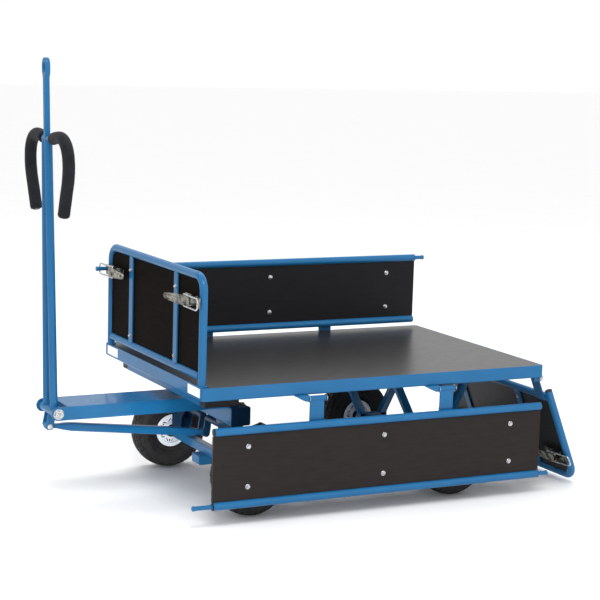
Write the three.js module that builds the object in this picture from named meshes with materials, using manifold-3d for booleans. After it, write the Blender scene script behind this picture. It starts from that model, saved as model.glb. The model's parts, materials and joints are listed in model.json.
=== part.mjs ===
// Folding platform cart: a four-wheeled hand truck with a turntable-steered front axle,
// a tilting drawbar with a parking brake, a fixed front wall and three hinged drop walls.
// Millimetres. +X forward (the drawbar end), +Y the cart's left, +Z up, ground at z = 0.
import * as THREE from 'three';
import { mergeVertices } from 'three/addons/utils/BufferGeometryUtils.js';
import Module from 'manifold-3d';

const wasm = await Module();
wasm.setup();

// ---- driving dimensions -------------------------------------------------------------
const GAP = 0.3;                              // between pieces that touch
const JOIN = 5;                               // how far welded pieces run into each other
const LENGTH = 1236;                          // outer size of the platform frame
const WIDTH = 840;
const DECK_TOP = 430;
const FRAME_H = 42;
const SKIN = 4;                               // sheet thickness of the frame
const BOARD_T = 15;
const FRAME_BOTTOM = DECK_TOP - FRAME_H;
const LEDGE = DECK_TOP - BOARD_T - GAP;       // top of the members that carry the board
const BEAM = { y: 200, half: 25 };            // the two lengthwise members
const TIE_X = [0, -450];                      // the two plain cross ties
const CROSSMEMBER = { x0: 463, x1: 580, half: 350 };
const CARRIER = { x0: 330, half: 130, bottom: 352 };   // plate box above the turntable
const FOOT = { x: 594, y: 374 };              // inner edges of the pads the front posts stand on

const TUBE_R = 12.5;                          // 25 mm tube of the walls and the drawbar
const HINGE_Z = 378;                          // wall hinge axes
const HINGE_OUT = 8;                          // hinge axis outboard of the frame face
const HINGE_Y = WIDTH / 2 + HINGE_OUT;
const HINGE_X = [233, -237];                  // middles of the side wall hinges
const END_HINGE_Y = 349;
const KNUCKLE = { r: 9, bore: 5, side: 28, end: 27 };
const HINGE_PIN_R = 4.5;
const LUG = { near: 31, far: 75, drop: 8 };   // side hinge lug, from the hinge middle
const SIDE_INSET = 19;                        // hinge axis to the side wall's tube plane
const SIDE_HALF = 593;
const SIDE_LOW = 79;                          // side wall tubes above the hinge axis
const SIDE_HIGH = 309;
const SIDE_BARS = [-475, 0, 475];
const LATCH_PIN = { r: 7, front: 65, rear: 38 };
const END_INSET = 18;
const END_PLANE = LENGTH / 2 - 10;            // tube plane of the upright end walls
const POST_Y = 388;
const BEND_R = 45;
const END_LOW = 29;                           // end wall tubes above the deck
const END_HIGH = 335;
const END_BAR_Y = 190;
const PANEL_T = 9;
const LATCH_Z = 257;                          // latch height above the deck
const LEVER = { pivotX: 26, pivotY: 330, length: 130, bailX: 28, bailY: 308 };
const BAIL = { wire: 4.6, half: 18, reach: 115, frontRise: 4, rearRise: -8 };
const REAR_WALL_DROP = 158;                   // degrees the rear wall is swung down
const LEVER_OPEN = 10;                        // degrees the undone front latch stands open

const FRONT_X = 414;                          // axle positions
const REAR_X = -317;
const WHEEL_Y = 336;
const WHEEL_SIDES = 20;
const TYRE = { r: 130, half: 42 };
const RIM = { seat: 50, flange: 61 };
const HUB_R = 22;
const STUB_R = 10;
const AXLE = { half: 250, low: 119, high: 149, thick: 30 };
const STOP = { x0: 375, x1: 455, half: 30, low: 88 };    // block under the front axle
const REAR_LEG = { top: 152, low: 37, half: 12.5 };
const FRONT_LEG = { x0: 396, x1: 440 };

const BOLSTER = { half: 260, x0: 381, x1: 448, z0: 266, z1: 327 };
const RING = { r: 120, split: 338, bore: 22 };
const KING = { r: 10, low: 258, nut: 17 };
const PIVOT = { x: 955, z: 305, bore: 8, boss: 21.5 };
const ARM = { half: 78, low: 284, skin: 6 };
const POLE_LEAN = THREE.MathUtils.degToRad(1.2);
const LEG = { low: 34, high: 13.2 };          // half spread of the drawbar legs
const CRANK = { x: 8, z: -51 };               // drawbar brake lever, in the pole's own frame
const HUB = { z: 850, x: -6, half: 31, r: 14 };
const EYE = { top: 1097, halfY: 21, halfZ: 32, thick: 16 };
const BAR_R = 7.9;                            // handle bar inside its grips
const GRIP_R = 19;
const ROD_HALF = 12;
const SHAFT = { x: 421, z: 243, r: 12 };      // brake shaft under the bolster
const SHOE = { x: 352, z: 263, r: 14, y0: 268, y1: 372 };

// ---- finishes -----------------------------------------------------------------------
const finish = (color, roughness, metalness) =>
  () => new THREE.MeshStandardMaterial({ color, roughness, metalness });
const BLUE = finish(0x2f6fae, 0.42, 0.15);
const DARK = finish(0x14202c, 0.5, 0.2);
const ZINC = finish(0xb9bcbf, 0.35, 0.9);
const PLY = finish(0x2b2724, 0.45, 0);
const PALE = finish(0xc8ccd6, 0.4, 0.3);
const RUBBER = finish(0x171717, 0.85, 0);
const FOAM = finish(0x2c2c2e, 0.95, 0);

// ---- solid helpers ------------------------------------------------------------------
const root = new THREE.Group();
const SIDES = [['left', 1], ['right', -1]];
const vec = (x, y, z) => new THREE.Vector3(x, y, z);

function toSolid(geometry) {
  const bare = geometry.clone();
  bare.deleteAttribute('normal');
  bare.deleteAttribute('uv');
  const merged = mergeVertices(bare, 1e-4);
  return new wasm.Manifold(new wasm.Mesh({
    numProp: 3,
    vertProperties: new Float32Array(merged.attributes.position.array),
    triVerts: new Uint32Array(merged.index.array),
  }));
}

function toGeometry(solid) {
  const mesh = solid.getMesh();
  const geometry = new THREE.BufferGeometry();
  const places = new THREE.BufferAttribute(new Float32Array(mesh.vertProperties), 3);
  geometry.setAttribute('position', places);
  geometry.setIndex(new THREE.BufferAttribute(new Uint32Array(mesh.triVerts), 1));
  return geometry;
}

function shape(adds, cuts = []) {
  let solid = toSolid(adds[0]);
  for (const piece of adds.slice(1)) solid = solid.add(toSolid(piece));
  for (const piece of cuts) solid = solid.subtract(toSolid(piece));
  return toGeometry(solid);
}

function node(name, geometry, material, parent = root) {
  const mesh = new THREE.Mesh(geometry, material());
  mesh.name = name;
  parent.add(mesh);
}

function box(x0, x1, y0, y1, z0, z1) {
  const geometry = new THREE.BoxGeometry(Math.abs(x1 - x0), Math.abs(y1 - y0), Math.abs(z1 - z0));
  return geometry.translate((x0 + x1) / 2, (y0 + y1) / 2, (z0 + z1) / 2);
}

// A round bar between two points.
function bar(from, to, radius, sides = 8) {
  const span = to.clone().sub(from);
  const geometry = new THREE.CylinderGeometry(radius, radius, span.length(), sides);
  const turn = new THREE.Quaternion().setFromUnitVectors(vec(0, 1, 0), span.clone().normalize());
  const middle = from.clone().add(to).multiplyScalar(0.5);
  return geometry.applyQuaternion(turn).translate(middle.x, middle.y, middle.z);
}

const barX = (x0, x1, y, z, r, sides) => bar(vec(x0, y, z), vec(x1, y, z), r, sides);
const barY = (y0, y1, x, z, r, sides) => bar(vec(x, y0, z), vec(x, y1, z), r, sides);
const barZ = (z0, z1, x, y, r, sides) => bar(vec(x, y, z0), vec(x, y, z1), r, sides);

const outlineOf = (points) => new THREE.Shape(points.map(([a, b]) => new THREE.Vector2(a, b)));

function extrude(outline, depth, curveSegments = 4) {
  return new THREE.ExtrudeGeometry(outline, { depth, bevelEnabled: false, curveSegments });
}

// An outline in X and Z, given thickness between two places along Y.
function plateXZ(points, ya, yb) {
  const geometry = extrude(outlineOf(points), Math.abs(yb - ya));
  return geometry.rotateX(Math.PI / 2).translate(0, Math.max(ya, yb), 0);
}

// An outline in Y and Z, given thickness from x0 to x1.
function plateYZ(outline, x0, x1, curveSegments) {
  const axes = new THREE.Matrix4().makeBasis(vec(0, 1, 0), vec(0, 0, 1), vec(1, 0, 0));
  return extrude(outline, x1 - x0, curveSegments).applyMatrix4(axes).translate(x0, 0, 0);
}

// A route through chosen points, for a section extruded along it: one ring on each point.
class Route extends THREE.Curve {
  constructor(points) {
    super();
    this.points = points;
  }

  getPoint(t, target = new THREE.Vector3()) {
    return target.copy(this.points[Math.round(t * (this.points.length - 1))]);
  }

  getSpacedPoints() {
    return this.points.map((point) => point.clone());
  }

  getTangentAt(t, target = new THREE.Vector3()) {
    const last = this.points.length - 1;
    const i = Math.round(t * last);
    const here = this.points[i];
    const into = here.clone().sub(this.points[Math.max(i - 1, 0)]).normalize();
    const out = this.points[Math.min(i + 1, last)].clone().sub(here).normalize();
    return target.copy(into.add(out)).normalize();
  }
}

// Straight runs with an arc of the given radius at each inner corner.
function bentRoute(corners, radius, steps = 3) {
  const points = [corners[0]];
  for (let i = 1; i < corners.length - 1; i++) {
    const into = corners[i - 1].clone().sub(corners[i]).normalize();
    const out = corners[i + 1].clone().sub(corners[i]).normalize();
    const half = into.angleTo(out) / 2;
    const bisector = into.clone().add(out).normalize();
    const centre = corners[i].clone().addScaledVector(bisector, radius / Math.sin(half));
    const start = corners[i].clone().addScaledVector(into, radius / Math.tan(half)).sub(centre);
    const end = corners[i].clone().addScaledVector(out, radius / Math.tan(half)).sub(centre);
    const sweep = start.angleTo(end);
    const axis = start.clone().cross(end).normalize();
    for (let k = 0; k <= steps; k++) {
      points.push(start.clone().applyAxisAngle(axis, (sweep * k) / steps).add(centre));
    }
  }
  points.push(corners[corners.length - 1]);
  return new Route(points);
}

function tube(route, radius, bore = 0, sides = 8) {
  const section = new THREE.Shape().absarc(0, 0, radius, 0, 2 * Math.PI);
  if (bore) section.holes.push(new THREE.Path().absarc(0, 0, bore, 0, 2 * Math.PI));
  const steps = route.points.length - 1;
  return new THREE.ExtrudeGeometry(section, {
    extrudePath: route, steps, curveSegments: sides / 2, bevelEnabled: false,
  });
}

// ---- platform -----------------------------------------------------------------------
// A flat ring of constant width along the inside of the platform outline.
function rimBand(width, z0, z1) {
  const x = LENGTH / 2;
  const y = WIDTH / 2;
  const outline = outlineOf([[-x, -y], [x, -y], [x, y], [-x, y]]);
  outline.holes.push(outlineOf([[width - x, width - y], [width - x, y - width],
    [x - width, y - width], [x - width, width - y]]));
  return extrude(outline, z1 - z0).translate(0, 0, z0);
}

// One hinge lug on a long side, beside the knuckle.
function sideLug(x, side) {
  const near = x + LUG.near;
  const far = x + LUG.far;
  const low = HINGE_Z - LUG.drop;
  const wedge = [[near, FRAME_BOTTOM + 1], [near, low], [near + 12, low],
    [far, FRAME_BOTTOM - 1], [far, FRAME_BOTTOM + 1]];
  return plateXZ(wedge, side * (HINGE_Y - 26), side * (HINGE_Y + 7));
}

function endLug(side) {
  const x0 = -LENGTH / 2 - HINGE_OUT - 7;
  return box(x0, -LENGTH / 2 + 20, side * (END_HINGE_Y + 28), side * (END_HINGE_Y + 46),
    HINGE_Z - LUG.drop, FRAME_BOTTOM + 1);
}

function platformFrame() {
  const inside = LENGTH / 2 - 2;
  const adds = [rimBand(SKIN, FRAME_BOTTOM, DECK_TOP), rimBand(34, FRAME_BOTTOM, FRAME_BOTTOM + SKIN),
    rimBand(20, LEDGE - SKIN, LEDGE)];
  const cuts = [];
  for (const side of [1, -1]) {
    const edges = [side * (BEAM.y - BEAM.half), side * (BEAM.y + BEAM.half)];
    adds.push(box(-inside, inside, edges[0], edges[1], FRAME_BOTTOM + 1, LEDGE), endLug(side));
    for (const x of HINGE_X) {
      adds.push(sideLug(x, side));
      cuts.push(barX(x + LUG.near - 10, x + LUG.far + 10, side * HINGE_Y, HINGE_Z, KNUCKLE.bore));
    }
    cuts.push(barY(side * END_HINGE_Y, side * (END_HINGE_Y + 80), -LENGTH / 2 - HINGE_OUT, HINGE_Z,
      KNUCKLE.bore));
  }
  for (const side of [1, -1]) {
    adds.push(box(FOOT.x + GAP, LENGTH / 2 - 2, side * (FOOT.y + GAP), side * (WIDTH / 2 - 2),
      FRAME_BOTTOM + 2, DECK_TOP - 1));
  }
  const { x0, x1, half } = CROSSMEMBER;
  adds.push(box(x0, x1, -half, half, CARRIER.bottom, FRAME_BOTTOM + 20));
  adds.push(box(CARRIER.x0, x0 + JOIN, -CARRIER.half, CARRIER.half, CARRIER.bottom + 1, LEDGE - 2));
  for (const x of TIE_X) {
    adds.push(box(x - 20, x + 20, 2 - WIDTH / 2, WIDTH / 2 - 2, FRAME_BOTTOM + 6, LEDGE - 1));
  }
  return shape(adds, cuts);
}
node('platform_frame', platformFrame(), BLUE);

// The board is notched round the pads of the front posts.
function deckBoard() {
  const x = LENGTH / 2 - SKIN - GAP;
  const y = WIDTH / 2 - SKIN - GAP;
  const corners = [[-x, -y], [FOOT.x, -y], [FOOT.x, -FOOT.y], [x, -FOOT.y],
    [x, FOOT.y], [FOOT.x, FOOT.y], [FOOT.x, y], [-x, y]];
  return extrude(outlineOf(corners), BOARD_T).translate(0, 0, LEDGE + GAP);
}
node('deck_board', deckBoard(), PLY);

// ---- axles --------------------------------------------------------------------------
// A square beam with a turned stub, a shoulder and a retaining nut at each end.
function axleGeometry(x, extra = []) {
  const adds = [box(x - AXLE.thick / 2, x + AXLE.thick / 2, -AXLE.half, AXLE.half, AXLE.low, AXLE.high)];
  const root = AXLE.half - JOIN;
  const inner = WHEEL_Y - TYRE.half;
  const outer = WHEEL_Y + TYRE.half;
  for (const side of [1, -1]) {
    adds.push(barY(side * root, side * (outer + 12), x, TYRE.r, STUB_R, 12));
    adds.push(barY(side * root, side * (inner - 1), x, TYRE.r, 15, 10));
    adds.push(barY(side * (outer + 1), side * (outer + 11), x, TYRE.r, 15, 6));
  }
  return shape([...adds, ...extra]);
}
node('rear_axle', axleGeometry(REAR_X), BLUE);
const stopBlock = box(STOP.x0, STOP.x1, -STOP.half, STOP.half, STOP.low, AXLE.low + 1);
node('front_axle', axleGeometry(FRONT_X, [stopBlock]), BLUE);

// A V of two square legs from the frame down to a saddle on the axle.
function rearBracket(side) {
  const top = FRAME_BOTTOM - GAP;
  const low = AXLE.high + GAP;
  const y = side * BEAM.y;
  const saddle = [[-55, low], [55, low], [50, low + 14], [-50, low + 14]];
  const placed = (points) => plateXZ(points.map(([x, z]) => [REAR_X + x, z]), y - REAR_LEG.half,
    y + REAR_LEG.half);
  const adds = [placed(saddle)];
  for (const way of [1, -1]) {
    const foot = REAR_LEG.low * way;
    const head = REAR_LEG.top * way;
    adds.push(placed([[foot - 14, low + 6], [foot + 14, low + 6], [head + 14, top], [head - 14, top]]));
    adds.push(box(REAR_X + head - 30, REAR_X + head + 30, y - 24, y + 24, top - JOIN, top));
  }
  return shape(adds);
}
for (const [name, side] of SIDES) node(`rear_bracket_${name}`, rearBracket(side), DARK);

// ---- steering bogie -----------------------------------------------------------------
// A round plate on the steering axis, with a bore.
function washer(z0, z1, radius, bore) {
  return shape([barZ(z0, z1, FRONT_X, 0, radius, 20)], [barZ(z0 - 1, z1 + 1, FRONT_X, 0, bore, 12)]);
}
const RING_TOP = CARRIER.bottom - GAP;
node('turntable_upper_ring', washer(RING.split + GAP, RING_TOP, RING.r, RING.bore), ZINC);
node('turntable_lower_ring', washer(BOLSTER.z1 + GAP, RING.split - GAP, RING.r, KING.r + 1), ZINC);
node('king_pin', shape([barZ(KING.low, RING_TOP, FRONT_X, 0, KING.r, 10),
  barZ(KING.low + 1, BOLSTER.z0 - GAP, FRONT_X, 0, KING.nut, 6)]), ZINC);
node('bolster_beam', shape([box(BOLSTER.x0, BOLSTER.x1, -BOLSTER.half, BOLSTER.half, BOLSTER.z0, BOLSTER.z1)],
  [barZ(BOLSTER.z0 - 5, BOLSTER.z1 + 5, FRONT_X, 0, KING.r + 1, 12)]), BLUE);

// A gusseted leg from the bolster down to the axle, bored for the brake shaft.
function frontBracket(side) {
  const top = BOLSTER.z0 - GAP;
  const low = AXLE.high + GAP;
  const outline = outlineOf([[120, top], [240, top], [240, low], [175, low], [165, 200]]
    .map(([y, z]) => [side * y, z]));
  return shape([plateYZ(outline, FRONT_LEG.x0, FRONT_LEG.x1)],
    [barY(side * 100, side * 260, SHAFT.x, SHAFT.z, SHAFT.r + 1.5, 10)]);
}
for (const [name, side] of SIDES) node(`front_bracket_${name}`, frontBracket(side), DARK);

// Inverted channel from the bolster to the drawbar pivot, with rounded cheeks at the front.
function drawbarArm() {
  const rear = BOLSTER.x1 + GAP;
  const top = BOLSTER.z1;
  const adds = [box(rear, PIVOT.x - 31, -ARM.half, ARM.half, top - ARM.skin, top)];
  for (const side of [1, -1]) {
    const outer = side * ARM.half;
    const inner = side * (ARM.half - ARM.skin);
    adds.push(box(rear, PIVOT.x, inner, outer, ARM.low, top));
    adds.push(barY(inner, outer, PIVOT.x, PIVOT.z, PIVOT.boss, 16));
  }
  return shape(adds, [barY(-100, 100, PIVOT.x, PIVOT.z, PIVOT.bore, 8)]);
}
node('drawbar_arm', drawbarArm(), BLUE);

function drawbarBolt() {
  const adds = [barY(-90, 90, PIVOT.x, PIVOT.z, PIVOT.bore - 0.7)];
  for (const side of [1, -1]) {
    const face = ARM.half;
    adds.push(barY(side * (face + GAP), side * (face + 3), PIVOT.x, PIVOT.z, 17, 12));
    adds.push(barY(side * (face + 2), side * (face + 11), PIVOT.x, PIVOT.z, 13, 6));
  }
  return shape(adds);
}
node('drawbar_bolt', drawbarBolt(), ZINC);

// ---- drawbar ------------------------------------------------------------------------
// Built with the pivot at the origin and the pole along +Z, then leaned forward.
const drawbar = new THREE.Group();
drawbar.position.set(PIVOT.x, 0, PIVOT.z);
drawbar.rotation.y = POLE_LEAN;
root.add(drawbar);

function eyeRing() {
  const ring = new THREE.Shape();
  const hole = new THREE.Path();
  const middle = EYE.top - EYE.halfZ;
  ring.absellipse(0, middle, EYE.halfY, EYE.halfZ, 0, 2 * Math.PI);
  hole.absellipse(0, middle + 2, 10, 15, 0, 2 * Math.PI);
  ring.holes.push(hole);
  return plateYZ(ring, -EYE.thick / 2, EYE.thick / 2, 6);
}

// The plate below the pivot that carries the brake rod's pin.
function crankPlate(y0, y1) {
  return plateXZ([[-12, -4], [12, -4], [CRANK.x + 13, CRANK.z + 4], [CRANK.x + 8, CRANK.z - 11],
    [CRANK.x - 8, CRANK.z - 11], [CRANK.x - 13, CRANK.z + 2]], y0, y1);
}

function drawbarPole() {
  const barrel = ARM.half - ARM.skin - GAP;
  const adds = [barY(-barrel, barrel, 0, 0, 15, 12), barY(-HUB.half, HUB.half, HUB.x, HUB.z, HUB.r, 12)];
  for (const side of [1, -1]) {
    adds.push(bar(vec(0, side * LEG.low, 3), vec(0, side * LEG.high, HUB.z - 8), TUBE_R));
    adds.push(crankPlate(side * (ROD_HALF + 2), side * (ROD_HALF + 8)));
  }
  adds.push(box(-8.5, 8.5, -8.5, 8.5, HUB.z - 20, EYE.top - 58), eyeRing());
  const cuts = [barY(-90, 90, 0, 0, PIVOT.bore), barY(-40, 40, CRANK.x, CRANK.z, 5.5),
    barY(-60, 60, HUB.x, HUB.z, BAR_R + 0.7)];
  return shape(adds, cuts);
}
node('drawbar_pole', drawbarPole(), BLUE, drawbar);

// The ram's-horn handle: out from the hub, over, down and back in towards the pole.
const HORN = [[38, 850], [72, 856], [116, 858], [150, 846], [174, 818], [182, 778], [175, 734],
  [157, 690], [129, 620]];
const hornRoute = (side) => new Route(HORN.map(([y, z]) => vec(HUB.x, side * y, z)));

function handleBar() {
  const adds = [barY(-HORN[0][0] - 1, HORN[0][0] + 1, HUB.x, HUB.z, BAR_R)];
  for (const side of [1, -1]) adds.push(tube(hornRoute(side), BAR_R));
  return shape(adds);
}
node('handle_bar', handleBar(), DARK, drawbar);
for (const [name, side] of SIDES) {
  node(`grip_${name}`, tube(hornRoute(side), GRIP_R, BAR_R + 0.7), FOAM, drawbar);
}

function rodPin() {
  const adds = [barY(-25, 25, CRANK.x, CRANK.z, 5)];
  for (const side of [1, -1]) {
    adds.push(barY(side * (ROD_HALF + 8.5), side * (ROD_HALF + 11.5), CRANK.x, CRANK.z, 9, 10));
  }
  return shape(adds);
}
node('rod_pin', rodPin(), ZINC, drawbar);

// ---- brake --------------------------------------------------------------------------
// Rod and levers form a parallelogram, so both cranks point the same way.
const crank = vec(CRANK.x, 0, CRANK.z).applyAxisAngle(vec(0, 1, 0), POLE_LEAN);
const rodFront = vec(PIVOT.x + crank.x, 0, PIVOT.z + crank.z);
const rodRear = vec(SHAFT.x + crank.x, 0, SHAFT.z + crank.z);

function brakeRod() {
  const run = rodFront.clone().sub(rodRear).normalize();
  const up = vec(-run.z, 0, run.x);
  const at = (base, along, height) => {
    const point = base.clone().addScaledVector(run, along).addScaledVector(up, height);
    return [point.x, point.z];
  };
  const body = [at(rodRear, 20, -10), at(rodRear, 40, -13), at(rodFront, -60, -13),
    at(rodFront, -25, -8), at(rodFront, -25, 8), at(rodFront, -60, 13), at(rodRear, 40, 13),
    at(rodRear, 20, 10)];
  const adds = [plateXZ(body, -ROD_HALF, ROD_HALF)];
  for (const [end, way] of [[rodFront, -1], [rodRear, 1]]) {
    const neck = [at(end, 0, -8), at(end, 30 * way, -8), at(end, 30 * way, 8), at(end, 0, 8)];
    adds.push(barY(-ROD_HALF, ROD_HALF, end.x, end.z, 13, 12), plateXZ(neck, -ROD_HALF, ROD_HALF));
  }
  return shape(adds, [barY(-40, 40, rodFront.x, rodFront.z, 5.6), barY(-40, 40, rodRear.x, rodRear.z, 8)]);
}
node('brake_rod', brakeRod(), BLUE);

// A cranked shaft: the rod turns it by the crank pin, and an arm at each end carries a shoe.
function brakeShaft() {
  const web = (to, y0, y1) => {
    const from = vec(SHAFT.x, 0, SHAFT.z);
    const run = to.clone().sub(from).normalize();
    const side = vec(-run.z, 0, run.x).multiplyScalar(11);
    const corners = [from.clone().add(side), from.clone().sub(side), to.clone().sub(side),
      to.clone().add(side)];
    return plateXZ(corners.map((point) => [point.x, point.z]), y0, y1);
  };
  const shoe = vec(SHOE.x, 0, SHOE.z);
  const cheek = { y0: 18, y1: 26 };
  const adds = [barY(-cheek.y0 - 2, cheek.y0 + 2, rodRear.x, rodRear.z, 6)];
  for (const side of [1, -1]) {
    const inner = side * cheek.y0;
    const outer = side * cheek.y1;
    adds.push(barY(inner, side * (SHOE.y0 + 12), SHAFT.x, SHAFT.z, SHAFT.r, 10));
    adds.push(barY(inner, outer, rodRear.x, rodRear.z, 12, 10), web(rodRear, inner, outer));
    adds.push(barY(side * SHOE.y0, side * SHOE.y1, SHOE.x, SHOE.z, SHOE.r, 10));
    adds.push(web(shoe, side * SHOE.y0, side * (SHOE.y0 + 12)));
  }
  return shape(adds);
}
node('brake_shaft', brakeShaft(), DARK);

// ---- wheels -------------------------------------------------------------------------
// Turned profiles of [radius, place across the wheel], with a flat of the tread on the ground.
function turned(profile, segments) {
  const points = profile.map(([radius, place]) => new THREE.Vector2(radius, place));
  return new THREE.LatheGeometry(points, segments, Math.PI / segments);
}
const TREAD_R = TYRE.r / Math.cos(Math.PI / WHEEL_SIDES);
const mirrored = (profile) => [...profile, ...profile.map(([r, y]) => [r, -y]).reverse(), profile[0]];
const TYRE_PROFILE = mirrored([[RIM.seat + GAP, -27.9], [RIM.flange + 1, -29.5], [74, -38],
  [94, -TYRE.half], [117, 2 - TYRE.half], [TREAD_R, -22]]);
const RIM_PROFILE = [[HUB_R + GAP, -4], [40, -4], [44, -33], [RIM.flange, -33], [RIM.flange, -30],
  [RIM.seat, -28.3], [RIM.seat, 28.3], [RIM.flange, 30], [RIM.flange, 33], [44, 33], [44, 4],
  [HUB_R + GAP, 4], [HUB_R + GAP, -4]];
const HUB_PROFILE = mirrored([[STUB_R + 1, -TYRE.half], [HUB_R, -TYRE.half]]);
for (const [end, x] of [['front', FRONT_X], ['rear', REAR_X]]) {
  for (const [name, side] of SIDES) {
    const wheel = new THREE.Group();
    wheel.position.set(x, side * WHEEL_Y, TYRE.r);
    wheel.rotation.z = side > 0 ? 0 : Math.PI;
    root.add(wheel);
    node(`tyre_${end}_${name}`, turned(TYRE_PROFILE, WHEEL_SIDES), RUBBER, wheel);
    node(`rim_${end}_${name}`, turned(RIM_PROFILE, WHEEL_SIDES), PALE, wheel);
    node(`hub_${end}_${name}`, turned(HUB_PROFILE, 12), DARK, wheel);
  }
}

// ---- side walls ---------------------------------------------------------------------
// Built about the hinge axis with the wall upright, then swung outwards by the drop angle.
function sideWall(name, side, drop) {
  const wall = new THREE.Group();
  wall.position.set(0, side * HINGE_Y, HINGE_Z);
  wall.rotation.x = -side * THREE.MathUtils.degToRad(drop);
  root.add(wall);
  const plane = -side * SIDE_INSET;
  const out = (offset) => plane + side * offset;
  const adds = [SIDE_LOW, SIDE_HIGH].map((z) => barX(-SIDE_HALF, SIDE_HALF, plane, z, TUBE_R));
  adds.push(barX(SIDE_HALF - JOIN, SIDE_HALF + LATCH_PIN.front, plane, SIDE_HIGH, LATCH_PIN.r));
  adds.push(barX(-SIDE_HALF - LATCH_PIN.rear, JOIN - SIDE_HALF, plane, SIDE_HIGH, LATCH_PIN.r));
  for (const x of SIDE_BARS) adds.push(box(x - 20, x + 20, out(7.5), out(11.5), SIDE_LOW, SIDE_HIGH));
  for (const x of HINGE_X) {
    adds.push(box(x - 21, x + KNUCKLE.side, out(12), out(18), 0, SIDE_LOW + 6));
    adds.push(barX(x - KNUCKLE.side, x + KNUCKLE.side + 1, 0, 0, KNUCKLE.r));
  }
  const cuts = HINGE_X.map((x) => barX(x - 40, x + 40, 0, 0, KNUCKLE.bore));
  node(`${name}_wall_frame`, shape(adds, cuts), BLUE, wall);
  node(`${name}_wall_panel`, box(-SIDE_HALF, SIDE_HALF, out(7.2 - PANEL_T), out(7.2),
    SIDE_LOW + TUBE_R + GAP, SIDE_HIGH - TUBE_R - GAP), PLY, wall);
}
sideWall('left', 1, 180);
sideWall('right', -1, 0);

// A headed pin through the knuckle and its lug, with a nut where the lug ends square.
function hingePin(from, to, nut) {
  const run = to.clone().sub(from).normalize();
  const along = (point, reach) => point.clone().addScaledVector(run, reach);
  const pieces = [bar(from, to, HINGE_PIN_R), bar(along(from, -4), along(from, 0.5), 9)];
  if (nut) pieces.push(bar(along(to, -0.5), along(to, 4), 8, 6));
  return shape(pieces);
}
for (const [name, side] of SIDES) {
  HINGE_X.forEach((x, i) => {
    const from = vec(x - KNUCKLE.side - 1, side * HINGE_Y, HINGE_Z);
    const to = vec(x + LUG.far - LUG.near, side * HINGE_Y, HINGE_Z);
    node(`hinge_pin_${name}_${['front', 'rear'][i]}`, hingePin(from, to, false), ZINC);
  });
  const end = (reach) => vec(-LENGTH / 2 - HINGE_OUT, side * (END_HINGE_Y + reach), HINGE_Z);
  node(`hinge_pin_rear_${name}`, hingePin(end(-28), end(47), true), ZINC);
}

// ---- end walls ----------------------------------------------------------------------
// Faces are built outwards from the tube plane: face is +1 on the front wall, -1 on the rear.
function latchBase(face, side) {
  const at = (x0, x1, y0, y1, z0, z1) =>
    box(face * x0, face * x1, side * y0, side * y1, LATCH_Z + z0, LATCH_Z + z1);
  const adds = [at(PANEL_T / 2 - 0.7, 7, 262, 374, -15, 15)];
  for (const z of [-15, 12]) adds.push(at(6, 32, LEVER.pivotY - 15, LEVER.pivotY + 15, z, z + 3));
  adds.push(barZ(LATCH_Z - 15, LATCH_Z + 15, face * LEVER.pivotX, side * LEVER.pivotY, 3.5));
  return shape(adds);
}

// Hand lever about its pivot, with the boss that the bail hangs in.
function leverGeometry(face, side) {
  const at = (x0, x1, y0, y1, z) => box(face * x0, face * x1, side * y0, side * y1, -z, z);
  const bossX = face * (LEVER.bailX - LEVER.pivotX);
  const bossY = side * (LEVER.bailY - LEVER.pivotY);
  const tip = -LEVER.length;
  const adds = [barZ(-11, 11, 0, 0, 7), at(-3, 4, 0, tip + 12, 11), at(0, 8, tip + 16, tip, 9),
    barZ(-11, 11, bossX, bossY, 7)];
  return shape(adds, [barZ(-20, 20, 0, 0, 4.2, 6), barZ(-20, 20, bossX, bossY, 4.5)]);
}

// Closed wire loop from the lever to beyond the side wall's latch pin.
function bailGeometry(face, side) {
  const { wire, half, reach } = BAIL;
  const rise = face > 0 ? BAIL.frontRise : BAIL.rearRise;
  const loop = (grow) => [[-grow, -half - grow], [reach + grow, -half - grow], [reach + grow, half + grow],
    [-grow, half + grow]];
  const outline = outlineOf(loop(wire / 2));
  outline.holes.push(outlineOf(loop(-wire / 2).reverse()));
  const geometry = plateYZ(outline, -wire / 2, wire / 2);
  const places = geometry.attributes.position;
  for (let i = 0; i < places.count; i++) {
    const along = places.getY(i) / reach;
    places.setX(i, places.getX(i) + face * rise * along);
  }
  return shape([side > 0 ? geometry : geometry.rotateX(Math.PI)]);
}

function endPanel(face) {
  const halfY = POST_Y - TUBE_R - GAP;
  const high = END_HIGH - TUBE_R - GAP;
  const low = END_LOW + TUBE_R + GAP;
  const radius = BEND_R - 8;
  const sheet = new THREE.Shape();
  sheet.moveTo(-halfY, low);
  sheet.lineTo(halfY, low);
  sheet.absarc(halfY - radius, high - radius, radius, 0, Math.PI / 2);
  sheet.absarc(radius - halfY, high - radius, radius, Math.PI / 2, Math.PI);
  const back = face > 0 ? 1 - PANEL_T + 2.5 : -3.5;
  return plateYZ(sheet, back, back + PANEL_T);
}

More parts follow.
